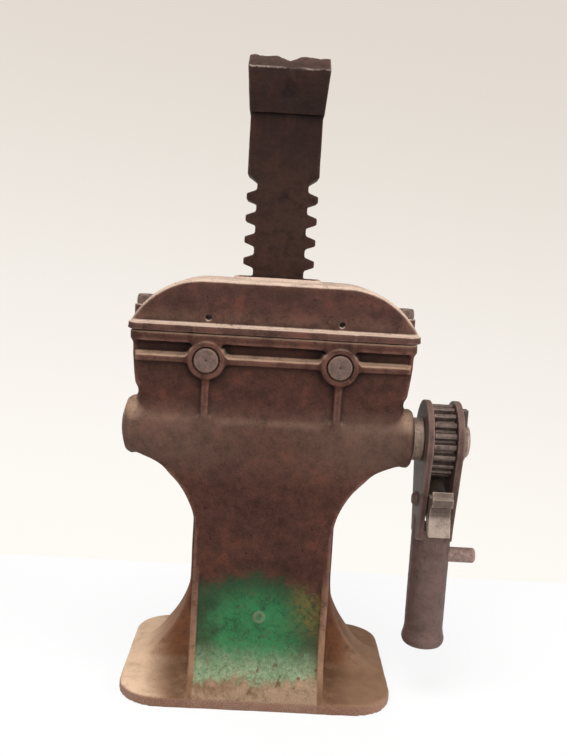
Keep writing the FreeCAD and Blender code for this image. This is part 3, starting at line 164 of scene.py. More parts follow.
# Colours laid over the body casting
TUBE_BLOOM = (0.16, 0.1, 0.075)
CLAY = (0.3, 0.15, 0.082)
PALE_CLAY = (0.4, 0.25, 0.165)
RUST = (0.17, 0.055, 0.018)
RIB_DUST = (0.27, 0.175, 0.11)
FOOT_EARTH = (0.23, 0.13, 0.075)
FOOT_DUST = (0.76, 0.53, 0.36)
FOOT_DARK = (0.12, 0.058, 0.03)
# Painted shade in the gap round each wheel pin
GAP_SHADE = (0.006, 0.003, 0.002)
EDGE_BROWN = (0.12, 0.055, 0.038)
EDGE_WORN = (0.42, 0.25, 0.18)

# Colours in the sprayed patch
PAINT_THIN = (0.022, 0.052, 0.022)
PAINT_SHADE = (0.012, 0.042, 0.02)
PAINT_EARTH = (0.075, 0.06, 0.03)
PAINT_CHALK = (0.29, 0.39, 0.23)
PAINT_OCHRE = (0.17, 0.115, 0.03)
PATCH_DUST = (0.38, 0.27, 0.18)
RUN_BROWN = (0.085, 0.04, 0.018)
RING_TAN = (0.27, 0.23, 0.16)

# Colours laid over the cover, the lifting bar, the handle and the pawl
COVER_FOOT = (0.2, 0.12, 0.085)
# Painted highlight on the front of the cover's rim
RIM_HIGHLIGHT = (0.26, 0.165, 0.125)
# Painted shadow under the cover's lip
LIP_SHADOW = (0.012, 0.005, 0.004)
BAR_STREAK = (0.052, 0.024, 0.016)
BAR_BROWN = (0.06, 0.028, 0.019)
# Head's crown: struck metal, lighter partly as painted light from above
HEAD_CROWN = (0.1, 0.062, 0.05)
# Painted highlight along the head's bevel
HEAD_HIGHLIGHT = (0.36, 0.27, 0.23)
HEAD_SHADE = (0.008, 0.0035, 0.003)
# Painted shadow in the head's dimple
DIMPLE_SHADOW = (0.004, 0.0016, 0.0012)
HANDLE_RUBBED = (0.16, 0.102, 0.088)
HANDLE_STREAK = (0.085, 0.05, 0.041)
# Painted light on the pawl's up-facing tab
TAB_LIT = (0.42, 0.33, 0.27)


class Wire:
    """One output of a shader tree. Sums and products of wires add Math nodes."""

    def __init__(self, finish, socket):
        self.finish = finish
        self.socket = socket

    def _math(self, operation, first, second):
        settings = {"operation": operation}
        return self.finish.node("ShaderNodeMath", settings, {0: first, 1: second})

    def __add__(self, other):
        return self._math("ADD", self, other)

    __radd__ = __add__

    def __sub__(self, other):
        return self._math("SUBTRACT", self, other)

    def __rsub__(self, other):
        return self._math("SUBTRACT", other, self)

    def __mul__(self, other):
        return self._math("MULTIPLY", self, other)

    __rmul__ = __mul__

    def __abs__(self):
        return self.finish.node("ShaderNodeMath", {"operation": "ABSOLUTE"}, {0: self})

    def root(self):
        return self.finish.node("ShaderNodeMath", {"operation": "SQRT"}, {0: self})

    def least(self, other):
        return self._math("MINIMUM", self, other)

    def most(self, other):
        return self._math("MAXIMUM", self, other)

    def rise(self, low, high):
        """0 below low, 1 above high, smooth between. With low above high it falls instead."""
        if low > high:
            return 1 - self.rise(high, low)
        settings = {"interpolation_type": "SMOOTHSTEP"}
        values = {"Value": self, "From Min": low, "From Max": high, "To Min": 0.0, "To Max": 1.0}
        return self.finish.node("ShaderNodeMapRange", settings, values)

    def band(self, start, full, fade, end):
        """1 between full and fade, falling smoothly to 0 at start and at end."""
        return self.rise(start, full) * self.rise(end, fade)

    def colour(self, zero, one):
        """Colour zero where the wire is 0, colour one where it is 1."""
        settings = {"data_type": "RGBA", "clamp_factor": True}
        return self.finish.node("ShaderNodeMix", settings, {0: self, 6: zero, 7: one}, 2)


class Finish:
    """A material or a world under construction: places, noises and the final surface."""

    def __init__(self, name, world=None):
        self.material = world or bpy.data.materials.new(name)
        self.material.use_nodes = True
        self.tree = self.material.node_tree
        self.tree.nodes.clear()
        self.place = self.node("ShaderNodeTexCoord", {}, {}, "Object")
        self.facing = self.node("ShaderNodeTexCoord", {}, {}, "Normal")

    def node(self, kind, settings, values, output=0):
        made = self.tree.nodes.new(kind)
        for key, value in settings.items():
            setattr(made, key, value)
        for key, value in values.items():
            self.feed(made.inputs[key], value)
        return Wire(self, made.outputs[output])

    def feed(self, socket, value):
        if isinstance(value, Wire):
            self.tree.links.new(value.socket, socket)
        elif socket.type == "RGBA":
            socket.default_value = tuple(value)[:3] + (1.0,)
        else:
            socket.default_value = value

    def axis(self, name, source=None):
        return self.node("ShaderNodeSeparateXYZ", {}, {0: source or self.place}, name)

    def noise(self, size, detail, rough, stretch=None):
        """Fractal noise about 0.5; size is the width of its largest features in metres."""
        place = self.place
        if stretch:
            settings = {"operation": "MULTIPLY"}
            place = self.node("ShaderNodeVectorMath", settings, {0: place, 1: stretch})
        values = {"Vector": place, "Scale": 1.0 / size, "Detail": detail, "Roughness": rough}
        return self.node("ShaderNodeTexNoise", {}, values)

    def stored(self, name):
        """A number kept on the mesh's points."""
        return self.node("ShaderNodeAttribute", {"attribute_name": name}, {}, "Fac")

    def bump(self, height, depth, strength, under=None):
        values = {"Height": height, "Distance": depth, "Strength": strength}
        if under:
            values["Normal"] = under
        return self.node("ShaderNodeBump", {}, values)

    def close(self, shader, kind="ShaderNodeOutputMaterial"):
        output = self.tree.nodes.new(kind)
        self.tree.links.new(shader.socket, output.inputs["Surface"])
        return self.material

    def surface(self, **values):
        return self.close(self.node("ShaderNodeBsdfPrincipled", {}, values))


def ragged(coarse, fine, low, high, share=0.6):
    """Patchy mask with torn edges, from a coarse and a fine noise."""
    return (coarse * share + fine * (1 - share)).rise(low, high)


def distance(first, second):
    """Length of a step that has these two parts."""
    return (first * first + second * second).root()


def scaled(colour, *shares):
    """A colour with each of its channels multiplied."""
    return tuple(channel * share for channel, share in zip(colour, shares))


def cast_skin(finish, dark, light, dust, dust_amount, grain, pale_edge=None):
    """Colour, roughness and bump that every cast or forged surface here shares."""
    up = finish.axis("Z", finish.facing)
    broad = finish.noise(0.07, 5.0, 0.6)
    mottle = finish.noise(0.013, 6.0, 0.68)
    speck = finish.noise(grain, 3.0, 0.65)
    tone = broad.rise(0.3, 0.7) * 0.3 + mottle.rise(0.3, 0.7) * 0.42
    colour = (tone + speck.rise(0.3, 0.7) * 0.28).colour(dark, light)
    rust = (mottle * 0.55 + broad * 0.45).rise(0.52, 0.64) * 0.4
    colour = rust.colour(colour, scaled(light, 1.25, 0.75, 0.55))
    # Painted shade in corners and broad recesses, brown on broad swells, worn bare metal with
    # painted highlight on sharp edges
    shade_and_pit_colour = scaled(dark, 0.4, 0.4, 0.4)
    colour = (finish.stored("deep") * 1.8).least(0.88).colour(colour, shade_and_pit_colour)
    colour = (finish.stored("hollow") * 1.6).least(0.9).colour(colour, shade_and_pit_colour)
    proud = finish.stored("proud") * ragged(mottle, speck, 0.3, 0.6)
    colour = (proud * 0.35).colour(colour, scaled(light, 1.6, 1.7, 1.7))
    # Pale colour on crests: worn bare metal and painted highlight
    crest = finish.stored("crest") * mottle.rise(0.25, 0.55)
    pale_edge = pale_edge or scaled(light, 2.7, 3.3, 3.6)
    colour = (crest * 1.5).least(0.75).colour(colour, pale_edge)
    # Dust on what faces up, which also stands in for painted light from above, then pale flecks,
    # then dark pits
    dust_and_top_light = up.rise(0.2, 0.65) * ragged(mottle, speck, 0.26, 0.54, 0.5)
    colour = (dust_and_top_light * dust_amount).colour(colour, dust)
    fleck = speck.rise(0.66, 0.76) * 0.4
    colour = fleck.colour(colour, scaled(light, 2.0, 2.1, 2.2))
    pit = finish.noise(0.0032, 3.0, 0.6)
    colour = (pit.rise(0.38, 0.3) * 0.55).colour(colour, shade_and_pit_colour)
    rough = (0.5 + mottle * 0.26 + dust_and_top_light * 0.25).least(0.95)
    sand = finish.bump(speck, 0.0003, 0.7)
    bump = finish.bump(finish.noise(0.0045, 4.0, 0.6), 0.0014, 0.8, sand)
    return {"colour": colour, "rough": rough, "bump": bump, "up": up, "crest": crest,
            "mottle": mottle, "broad": broad, "speck": speck}


def weathered_column(skin, colour, x, y, z):
    """Bloom on the worm tube, clay and rust towards the foot, dust on the edge ribs."""
    mottle, speck = skin["mottle"], skin["speck"]
    across = abs(x)
    tube = z.band(0.2, 0.245, 0.262, 0.288) * (across.rise(0.0, 0.09) * 0.55 + 0.45)
    tube = tube * (mottle.rise(0.2, 0.6) * 0.4 + speck.rise(0.3, 0.6) * 0.25 + 0.35)
    colour = (tube * 0.42).colour(colour, TUBE_BLOOM)
    low = (z + skin["broad"] * 0.06).rise(0.16, 0.04)
    clay = low * (0.35 + mottle.rise(0.3, 0.65) * 0.45 + speck.rise(0.4, 0.7) * 0.2)
    colour = clay.colour(colour, CLAY)
    flank = z.rise(0.11, 0.03) * across.rise(0.078, 0.1) * ragged(mottle, speck, 0.32, 0.56)
    colour = (flank * 0.6).colour(colour, PALE_CLAY)
    rusty = low * across.band(0.064, 0.068, 0.075, 0.1) * y.rise(-0.058, -0.05)
    rusty = rusty * ragged(mottle, speck, 0.36, 0.6)
    colour = (rusty * 0.75).colour(colour, RUST)
    ribs = across.band(0.0572, 0.0582, 0.0655, 0.0668) * y.rise(-0.055, -0.06)
    ribs = ribs * z.rise(0.13, 0.045) * ragged(mottle, speck, 0.36, 0.6, 0.5)
    return (ribs * 0.5).colour(colour, RIB_DUST)


def dusty_foot(skin, colour, x, z):
    """Dust on the foot, palest towards its left-hand end, darker in the middle."""
    mottle, speck = skin["mottle"], skin["speck"]
    foot = (z + mottle * 0.01).rise(0.045, 0.016) * skin["up"].rise(0.05, 0.6)
    place = abs(x) - x * 0.3 + (skin["broad"] - 0.5) * 0.08 + (speck - 0.5) * 0.03
    dust = place.rise(0.092, 0.145).colour(FOOT_EARTH, FOOT_DUST)
    colour = (foot * (0.62 + mottle.rise(0.3, 0.6) * 0.35)).colour(colour, dust)
    foot_dark = foot * abs(x).rise(0.098, 0.07) * ragged(mottle, speck, 0.36, 0.56)
    return (foot_dark * 0.75).colour(colour, FOOT_DARK)


def pin_gap(x, z):
    """1 in the thin gap between each wheel pin and its boss, where painted shade goes."""
    return distance(abs(x) - PIN_X, z - PIN_HEIGHT).band(*PIN_GAP)


def green_paint(finish, skin, x, height, reach, fine):
    """The paint's own colour: mottled, earthy in spots, ochre at right and chalky low down."""
    mottle, speck = skin["mottle"], skin["speck"]
    warp = mottle - 0.5
    strong = (x + warp * 0.05).band(-0.056, -0.03, 0.016, 0.056)
    strong = strong * (height + reach).rise(0.12, 0.086) * height.rise(0.026, 0.05)
    green = strong.colour(PAINT_THIN, bpy.context.scene.track_jack.patch_colour)
    shade = (mottle * 0.4 + fine * 0.35 + speck * 0.25).rise(0.54, 0.4)
    green = (shade * 0.7).colour(green, PAINT_SHADE)
    earth = finish.noise(0.007, 5.0, 0.7).rise(0.55, 0.68)
    green = (earth * 0.55).colour(green, PAINT_EARTH)
    chalk = height.rise(0.056, 0.02) * (0.3 + ragged(fine, speck, 0.35, 0.6) * 0.65)
    green = (chalk * 0.85).colour(green, PAINT_CHALK)
    ochre = (x + warp * 0.03).rise(0.02, 0.055) * height.rise(0.05, 0.085) * fine.rise(0.35, 0.6)
    return (ochre * 0.75).colour(green, PAINT_OCHRE)


def sprayed_patch(finish, skin, colour, x, y, z):
    """Soft-edged green paint on the front panel, with dust, rust runs and a bare ring boss."""
    mottle, speck = skin["mottle"], skin["speck"]
    warp = mottle - 0.5
    fine = finish.noise(0.0042, 5.0, 0.7)
    front = y.rise(-0.052, -0.058) * abs(x).rise(0.0588, 0.0572)
    height = z + warp * 0.03
    reach = abs(x + 0.006) * 0.32
    spray = (height + reach).rise(0.146, 0.096) * height.rise(0.008, 0.036)
    spray = spray * ((x + warp * 0.03).rise(0.066, 0.03) * 0.45 + 0.55)
    grainy = (fine - 0.5) * 1.1 + (speck - 0.5) * 0.7
    paint = front * (spray * 1.25 + grainy - 0.08).rise(0.12, 0.85)
    green = green_paint(finish, skin, x, height, reach, fine)
    colour = (paint * 0.93).colour(colour, green)
    dust = (height + warp * 0.02 - x * 0.1).rise(0.024, 0.01) * front * speck.rise(0.25, 0.6)
    colour = (dust * 0.7).colour(colour, PATCH_DUST)
    runs = finish.noise(0.006, 4.0, 0.6, (1.0, 1.0, 0.22)).rise(0.57, 0.66)
    runs = runs * front * height.band(0.01, 0.02, 0.05, 0.07)
    runs = runs * (x.rise(-0.03, 0.01) * 0.7 + 0.3)
    colour = (runs * 0.7).colour(colour, RUN_BROWN)
    away = distance(x, z - RING_Z)
    ring = away.rise(0.0066, 0.0056) * (away.rise(0.0022, 0.0036) * 0.7 + 0.3) * front
    return (ring * 0.3).colour(colour, RING_TAN), paint


def foot_edge(skin, colour, x, z):
    """The foot's upright edge stays brown, and is worn paler towards its ends."""
    mottle, speck = skin["mottle"], skin["speck"]
    edge = (z + (mottle - 0.5) * 0.004).rise(0.0105, 0.008)
    edge = edge * (0.6 + mottle.rise(0.3, 0.6) * 0.3)
    pale_edge = (abs(x) - 0.01 * mottle).rise(0.09, 0.125) * 0.35 + speck.rise(0.3, 0.7) * 0.5
    return edge.colour(colour, pale_edge.colour(EDGE_BROWN, EDGE_WORN))


def body_finish():
    """Brown cast iron, tan with dust low down, with a sprayed green patch on the front panel."""
    finish = Finish("cast_body")
    skin = cast_skin(finish, **SKINS["cast_body"])
    x, y, z = (finish.axis(name) for name in "XYZ")
    colour = weathered_column(skin, skin["colour"], x, y, z)
    colour = dusty_foot(skin, colour, x, z)
    # Painted shade in the gap round each wheel pin
    gap = pin_gap(x, z) * y.rise(-0.06, -0.065)
    colour = (gap * 0.85).colour(colour, GAP_SHADE)
    colour, paint = sprayed_patch(finish, skin, colour, x, y, z)
    colour = foot_edge(skin, colour, x, z)
    rough = skin["rough"] - paint * 0.15
    return finish.surface(**{"Base Color": colour, "Roughness": rough, "Normal": skin["bump"],
                             "Metallic": skin["crest"] * 0.2, "Specular IOR Level": 0.1})


def cover_finish():
    """Brown cast iron under more dust, with a painted highlight on the front of its rim and a
    painted shadow under the lip where the cover meets the case.
    """
    finish = Finish("cast_cover")
    skin = cast_skin(finish, **SKINS["cast_cover"])
    y, z = finish.axis("Y"), finish.axis("Z")
    torn = ragged(skin["mottle"], skin["speck"], 0.34, 0.56)
    foot = z.band(0.3505, 0.3545, 0.356, 0.372) * torn
    colour = (foot * 0.22).colour(skin["colour"], COVER_FOOT)
    # Painted highlight on the front of the rim
    rim_highlight = z.band(0.345, 0.3525, 0.3525, 0.3535) * y.rise(-0.062, -0.066) * torn
    colour = (rim_highlight * 0.12).colour(colour, RIM_HIGHLIGHT)
    # Painted shadow under the lip where the cover meets the case
    lip_shadow = z.rise(0.3462, 0.345) * y.rise(-0.06, -0.064)
    colour = (lip_shadow * 0.7).colour(colour, LIP_SHADOW)
    return finish.surface(**{"Base Color": colour, "Roughness": skin["rough"],
                             "Normal": skin["bump"], "Metallic": skin["crest"] * 0.2,
                             "Specular IOR Level": 0.11})


def head_wear_and_light(finish, skin, colour, x, y, z):
    """Bright bruised edges with a painted highlight along the bevel, a crown lighter partly as
    painted light from above, painted shade below the bevel and a painted shadow in the hollow in the
    middle of the face.
    """
    torn = ragged(skin["mottle"], skin["speck"], 0.33, 0.55)
    warp = (skin["mottle"] - 0.5) * 0.004
    # Crown lighter: struck metal and painted light from above
    crown_struck_and_lit = (z + warp).rise(BEVEL_Z - 0.001, BEVEL_Z + 0.001)
    colour = (crown_struck_and_lit * torn * 0.35).colour(colour, HEAD_CROWN)
    # Painted highlight along the bevel's edge, joined with the worn bruised edges
    wide = finish.noise(0.02, 3.0, 0.5)
    lip = (z + warp * 1.5).band(BEVEL_Z - 0.0016, BEVEL_Z - 0.0004, BEVEL_Z, BEVEL_Z + 0.001)
    lip = lip * (wide.rise(0.42, 0.6) * 0.85 + 0.15) * torn * abs(y).rise(0.02, 0.024)
    wear_and_highlight = (finish.stored("crest").rise(0.05, 0.5) * torn * (crown_struck_and_lit * 0.7 + 0.2)).most(lip)
    wear_and_highlight = wear_and_highlight * z.rise(HEAD_FOOT_Z - 0.002, HEAD_FOOT_Z + 0.004)
    colour = (wear_and_highlight * 0.75).colour(colour, HEAD_HIGHLIGHT)
    shade = (z + warp * 2).rise(BEVEL_Z - 0.012, BEVEL_Z - 0.028)
    shade = shade * z.rise(HEAD_FOOT_Z - 0.001, HEAD_FOOT_Z + 0.001)
    colour = (shade * 0.4).colour(colour, HEAD_SHADE)
    # Painted shadow in the hollow under the dimple
    dimple_shadow = distance(x, (z - DIMPLE_Z) * 1.5).rise(0.0115, 0.003)
    dimple_shadow = dimple_shadow * y.rise(HEAD_FACE_Y, HEAD_FACE_Y - 0.002)
    return (dimple_shadow * 0.7).colour(colour, DIMPLE_SHADOW), wear_and_highlight


def bar_finish():
    """Nearly black forged steel, with brown showing on the worn teeth and the head's edges, and
    painted highlight, light and shade on the head.
    """
    finish = Finish("bar_steel")
    skin = cast_skin(finish, **SKINS["bar_steel"])
    x, y, z = (finish.axis(name) for name in "XYZ")
    streak = finish.noise(0.009, 4.0, 0.6, (1.0, 1.0, 0.16)).rise(0.48, 0.75)
    colour = (streak * 0.3).colour(skin["colour"], BAR_STREAK)
    low = z.rise(0.53, 0.45) * 0.35 * skin["mottle"].rise(0.3, 0.6)
    colour = low.colour(colour, BAR_BROWN)
    colour, wear_and_highlight = head_wear_and_light(finish, skin, colour, x, y, z)
    rough = skin["rough"] * 0.9 - wear_and_highlight * 0.2
    return finish.surface(**{"Base Color": colour, "Roughness": rough, "Normal": skin["bump"],
                             "Specular IOR Level": 0.1})


def handle_finish():
    """Smooth iron, purplish brown-grey where hands rub it, dark in the fork."""
    finish = Finish("handle_iron")
    skin = cast_skin(finish, **SKINS["handle_iron"])
    torn = ragged(skin["mottle"], skin["speck"], 0.25, 0.6)
    paler_part = finish.axis("Z").rise(0.19, 0.15) * torn
    colour = (paler_part * 0.55).colour(skin["colour"], HANDLE_RUBBED)
    streak = finish.noise(0.006, 4.0, 0.6, (1.0, 1.0, 0.12)).rise(0.45, 0.7)
    colour = (streak * 0.3).colour(colour, HANDLE_STREAK)
    return finish.surface(**{"Base Color": colour, "Roughness": skin["rough"] * 0.78,
                             "Normal": skin["bump"], "Metallic": 0.12,
                             "Specular IOR Level": 0.22})


def pawl_finish():
    """Bare forged steel: dull grey-brown block, with painted light on its up-facing tab."""
    finish = Finish("pawl_steel")
    skin = cast_skin(finish, **SKINS["pawl_steel"])
    height = finish.axis("Z") + (skin["mottle"] - 0.5) * 0.006
    # Painted light on the tab, which faces up
    paler_part = height.rise(PAWL_CREASE_Z + 0.001, PAWL_CREASE_Z - 0.004)
    paler_part = paler_part * ragged(skin["mottle"], skin["speck"], 0.3, 0.55, 0.5)
    colour = (paler_part * 0.7).colour(skin["colour"], TAB_LIT)
    return finish.surface(**{"Base Color": colour, "Roughness": skin["rough"] * 0.8,
                             "Normal": skin["bump"], "Metallic": 0.3,
                             "Specular IOR Level": 0.35})


def steel_finish(name):
    """Turned or cut metal with brown film and scratches, bright crowns of wear and painted
    highlight, and painted shade in hollows.
    """
    dark, light, metal, rough = STEELS[name]
    finish = Finish(name)
    film = finish.noise(0.004, 5.0, 0.65)
    scratch = finish.noise(0.0015, 3.0, 0.6)
    tone = film.rise(0.3, 0.7) * 0.65 + scratch.rise(0.3, 0.7) * 0.35
    colour = tone.colour(dark, light)
    # Bright crowns: worn metal and painted highlight
    crest = finish.stored("crest")
    wear_and_highlight = tuple(min(1.0, 2.2 * channel) for channel in light)
    colour = (crest * 1.2).least(1.0).colour(colour, wear_and_highlight)
    # Painted shade in hollows
    shade_and_pit_colour = scaled(dark, 0.2, 0.2, 0.2)
    colour = (finish.stored("hollow") * 1.4).least(1.0).colour(colour, shade_and_pit_colour)
    relief = finish.bump(scratch, 0.00008, 0.5, finish.bump(film, 0.0002, 0.4))
    shine = (rough + film * 0.25 - crest * 0.15).least(0.95)
    return finish.surface(**{"Base Color": colour, "Roughness": shine, "Normal": relief,
                             "Metallic": metal})


def ease(part):
    """Smooth step of numbers from 0 to 1."""
    return part * part * (3 - 2 * part)


def lattice(points, size, seed):
    """Smooth value noise from -1 to 1 at each point, with features of the given size."""
    grid = points / size
    cell = np.floor(grid).astype(np.int64)
    near = ease(grid - cell)
    total = np.zeros(len(points))
    for corner in range(8):
        step = np.array([corner & 1, (corner >> 1) & 1, (corner >> 2) & 1])
        key = (cell + step) * np.array(CELL_KEY)
        mixed = (key[:, 0] ^ key[:, 1] ^ key[:, 2]) + seed * SEED_KEY
        mixed = (mixed ^ (mixed >> 15)) * FIRST_KEY & LOW_BITS
        mixed = (mixed ^ (mixed >> 13)) * SECOND_KEY & LOW_BITS
        value = (mixed & 0xFFFF) / 32767.5 - 1
        total += np.where(step == 1, near, 1 - near).prod(axis=1) * value
    return total


def read_vectors(mesh, name):
    """The points' places (co) or normals (normal), one row each."""
    rows = np.zeros(len(mesh.vertices) * 3)
    mesh.vertices.foreach_get(name, rows)
    return rows.reshape(-1, 3)


def read_edges(mesh):
    rows = np.zeros(len(mesh.edges) * 2, dtype=np.int32)
    mesh.edges.foreach_get("vertices", rows)
    return rows.reshape(-1, 2)


def move_points(mesh, points):
    mesh.vertices.foreach_set("co", points.ravel())
    mesh.update()


def neighbour_mean(points, edges, rounds):
    """Points pulled to the mean of their neighbours, a number of times."""
    first, second = edges[:, 0], edges[:, 1]
    count = len(points)
    degree = np.bincount(first, minlength=count) + np.bincount(second, minlength=count)
    degree = np.maximum(degree, 1)
    for _ in range(rounds):
        total = np.zeros_like(points)
        for k in range(3):
            total[:, k] = np.bincount(first, points[second, k], count)
            total[:, k] += np.bincount(second, points[first, k], count)
        points = 0.5 * points + 0.5 * total / degree[:, None]
    return points


def keep_relief(mesh, reach):
    """Keeps on each point how far it stands out of the form or lies in it.

    crest and hollow are narrow edges and corners; proud and deep are broad ones. The finishes lay
    wear and painted highlight on crests, and painted shade in hollows and deep places.
    """
    points = read_vectors(mesh, "co")
    normals = read_vectors(mesh, "normal")
    edges = read_edges(mesh)
    near = neighbour_mean(points, edges, RELIEF_ROUNDS)
    far = neighbour_mean(near, edges, BROAD_ROUNDS * RELIEF_ROUNDS)
    narrow = ((points - near) * normals).sum(axis=1) / reach
    broad = ((points - far) * normals).sum(axis=1) / (BROAD_REACH * reach)
    for name, values in (("crest", narrow), ("hollow", -narrow), ("proud", broad), ("deep", -broad)):
        kept = mesh.attributes.new(name, "FLOAT", "POINT")
        kept.data.foreach_set("value", np.clip(values - RELIEF_FLOOR, 0, 1).astype(np.float32))


def melt(mesh, weights):
    """Rounds off the form where the weights say so."""
    points = read_vectors(mesh, "co")
    soft = neighbour_mean(points, read_edges(mesh), MELT_ROUNDS)
    points += (soft - points) * weights(points)[:, None]
    move_points(mesh, points)


def bruise_head(points):
    """Beats the head's edges uneven, always inwards, and sinks a hollow under its dimple."""
    x, y, z = points.T
    near_top = np.clip((z - HEAD_TOP_Z + BEATEN_BAND) / BEATEN_BAND, 0, 1)
    chip = 0.5 + 0.5 * lattice(points, 0.0065, 11) + 0.35 * lattice(points, 0.0028, 12)
    points[:, 2] -= near_top * np.clip(chip, 0, 1.4) * CHIP_DEPTH
    near_edge = np.clip(1 - np.abs(z - BEVEL_Z) / BEATEN_BAND, 0, 1)
    dent = 0.5 + 0.5 * lattice(points, 0.011, 13) + 0.3 * lattice(points, 0.004, 14)
    points[:, 1] -= np.sign(y) * near_edge * np.clip(dent, 0, 1.3) * DENT_DEPTH
    hollow = np.exp(-(x / HOLLOW_WIDTH) ** 2 - ((z - DIMPLE_Z) / HOLLOW_HEIGHT) ** 2)
    points[:, 1] += np.where(y < HEAD_FACE_Y, hollow * HOLLOW_DEPTH, 0.0)


def flare_tab(points):
    """Widens the pawl's tab towards its foot, short of the cheeks."""
    low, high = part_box("pawl")
    middle = (low[0] + high[0]) / 2
    wide = np.clip((PAWL_CREASE_Z + 0.004 - points[:, 2]) / 0.01, 0, 1)
    front = np.clip((low[1] + 0.022 - points[:, 1]) / 0.006, 0, 1)
    points[:, 0] += (points[:, 0] - middle) * wide * front * TAB_FLARE


def window(values, low, high, edge):
    """1 between low and high, falling smoothly to 0 over the edge on either side."""
    inner = np.minimum(values - low, high - values)
    return ease(np.clip(inner / edge + 1, 0, 1))


def body_weights(points):
    """Where the casting is soft: round the worm tube, and where the webs meet the foot."""
    x, y, z = points.T
    across = np.abs(x)
    front = np.where(y > 0.02, 0.0, 1.0)
    tube = window(z, 0.222, 0.288, 0.01) * window(y, -0.08, -0.03, 0.015)
    ends = window(across, 0.0, 0.122, 0.006)
    bore = np.hypot(y - TUBE_Y, z - TUBE_Z)
    rib = window(across, PIN_X - 0.004, PIN_X + 0.004, 0.003) * window(z, 0.268, 0.4, 0.008)
    web = window(z, 0.009, 0.026, 0.012) * window(across, 0.068, 0.116, 0.006)
    web = web * window(y, -0.05, 0.06, 0.012)
    soft = front * tube * ends * np.clip((bore - TUBE_BORE) / 0.003, 0, 1) * (1 - rib)
    return np.maximum(soft, web)


def add_object(name, data):
    made = bpy.data.objects.new(name, data)
    bpy.context.scene.collection.objects.link(made)
    return made


def joined_mesh(nodes):
    """One mesh from several CAD nodes at rest."""
    points, faces = [], []
    for node in nodes:
        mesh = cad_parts[node].data
        start = len(points)
        points += [tuple(v.co) for v in mesh.vertices]
        faces += [tuple(start + i for i in p.vertices) for p in mesh.polygons]
    made = bpy.data.meshes.new(nodes[0] + "_joined")
    made.from_pydata(points, [], faces)
    made.validate()
    return made


def dense_mesh(name, nodes, voxel, relax):
    """Even, fine mesh over CAD nodes with its edges a little rounded."""
    source = add_object(name + "_source", joined_mesh(nodes))
    remesh = source.modifiers.new("skin", "REMESH")
    remesh.mode = "VOXEL"
    remesh.voxel_size = voxel
    remesh.use_smooth_shade = True
    smooth = source.modifiers.new("soft", "SMOOTH")
    smooth.factor = 0.5
    smooth.iterations = relax
    ready = source.evaluated_get(bpy.context.evaluated_depsgraph_get())
    mesh = bpy.data.meshes.new_from_object(ready)
    bpy.data.objects.remove(source)
    return mesh


def link_piece(name, mesh, material, body):
    piece = add_object(name, mesh)
    piece.data.materials.clear()
    piece.data.materials.append(material)
    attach(piece, body)
    return piece


def dense_piece(name, nodes, body, material, voxel, relax, wave=0.0, wave_size=0.02,
                weights=None, shape=None):
    """A fine skin over CAD nodes: soft edges, a wavy surface, and on its points the relief for wear,
    painted highlight and painted shade.
    """
    mesh = dense_mesh(name, nodes, voxel, relax)
    if weights:
        melt(mesh, weights)
    if wave:
        points = read_vectors(mesh, "co")
        swell = lattice(points, wave_size, 3) * 0.6 + lattice(points, wave_size / 2.7, 5) * 0.4
        points += read_vectors(mesh, "normal") * ((swell - 1) * wave / 2)[:, None]
        if shape:
            shape(points)
        move_points(mesh, points)
    keep_relief(mesh, voxel * RELIEF_REACH)
    piece = link_piece(name, mesh, material, body)
    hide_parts(*nodes)
    print(name, len(mesh.polygons), "faces")


def dress_node(node, material):
    """Better material on a CAD node that stays as it is."""
    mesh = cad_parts[node].data
    mesh.materials.clear()
    mesh.materials.append(material)


class TrackJackSettings(bpy.types.PropertyGroup):
    """Sizes and colours of the jack's surfaces."""

    casting_grid: bpy.props.FloatProperty(
        name="Casting grid", description="Spacing of the points on the body's skin",
        default=0.0017, unit="LENGTH")
    cover_grid: bpy.props.FloatProperty(
        name="Cover grid", description="Spacing of the points on the cover's skin",
        default=0.0012, unit="LENGTH")
    bar_grid: bpy.props.FloatProperty(
        name="Bar grid", description="Spacing of the points on the lifting bar's skin",
        default=0.0010, unit="LENGTH")
    handle_grid: bpy.props.FloatProperty(
        name="Handle grid", description="Spacing of the points on the handle's skin",
        default=0.0010, unit="LENGTH")
    fine_grid: bpy.props.FloatProperty(
        name="Fine grid", description="Spacing of the points on small steel pieces",
        default=0.0006, unit="LENGTH")
    casting_wave: bpy.props.FloatProperty(
        name="Casting wave", description="Depth of the uneven surface of the castings",
        default=0.0007, unit="LENGTH")
    patch_colour: bpy.props.FloatVectorProperty(
        name="Patch colour", description="Sprayed paint on the front panel",
        default=(0.022, 0.15, 0.055), size=3, subtype="COLOR")
    lamp_power: bpy.props.FloatProperty(
        name="Lamp power", description="Power of the large lamp above the front",
        default=20.0, unit="POWER")
    room_light: bpy.props.FloatProperty(
        name="Room light", description="Strength of the soft light from all sides",
        default=0.25)


class TRACKJACK_OT_body(bpy.types.Operator):
    """Skin of the body casting: base, column, gear case and worm tube"""

    bl_idname = "track_jack.body"
    bl_label = "Body casting"

    def execute(self, context):
        jack = context.scene.track_jack
        dense_piece("body_skin", ["body_casting"], "root", body_finish(),
                    jack.casting_grid, 2, jack.casting_wave, 0.022, weights=body_weights)
        return {"FINISHED"}


class TRACKJACK_OT_cover(bpy.types.Operator):
    """Skins of the domed gear cover, its bolts and the plug in the worm tube"""

    bl_idname = "track_jack.cover"
    bl_label = "Gear cover"

    def execute(self, context):
        jack = context.scene.track_jack
        material = cover_finish()
        dense_piece("cover_skin", ["gear_cover"], "root", material,
                    jack.cover_grid, 2, jack.casting_wave, 0.018)
        bolt = steel_finish("bolt_steel")
        dense_piece("cover_bolt_skins", ["cover_bolts"], "root", bolt,
                    jack.fine_grid, 4)
        dense_piece("plug_skin", ["tube_plug"], "root", material,
                    jack.handle_grid, 4)
        return {"FINISHED"}


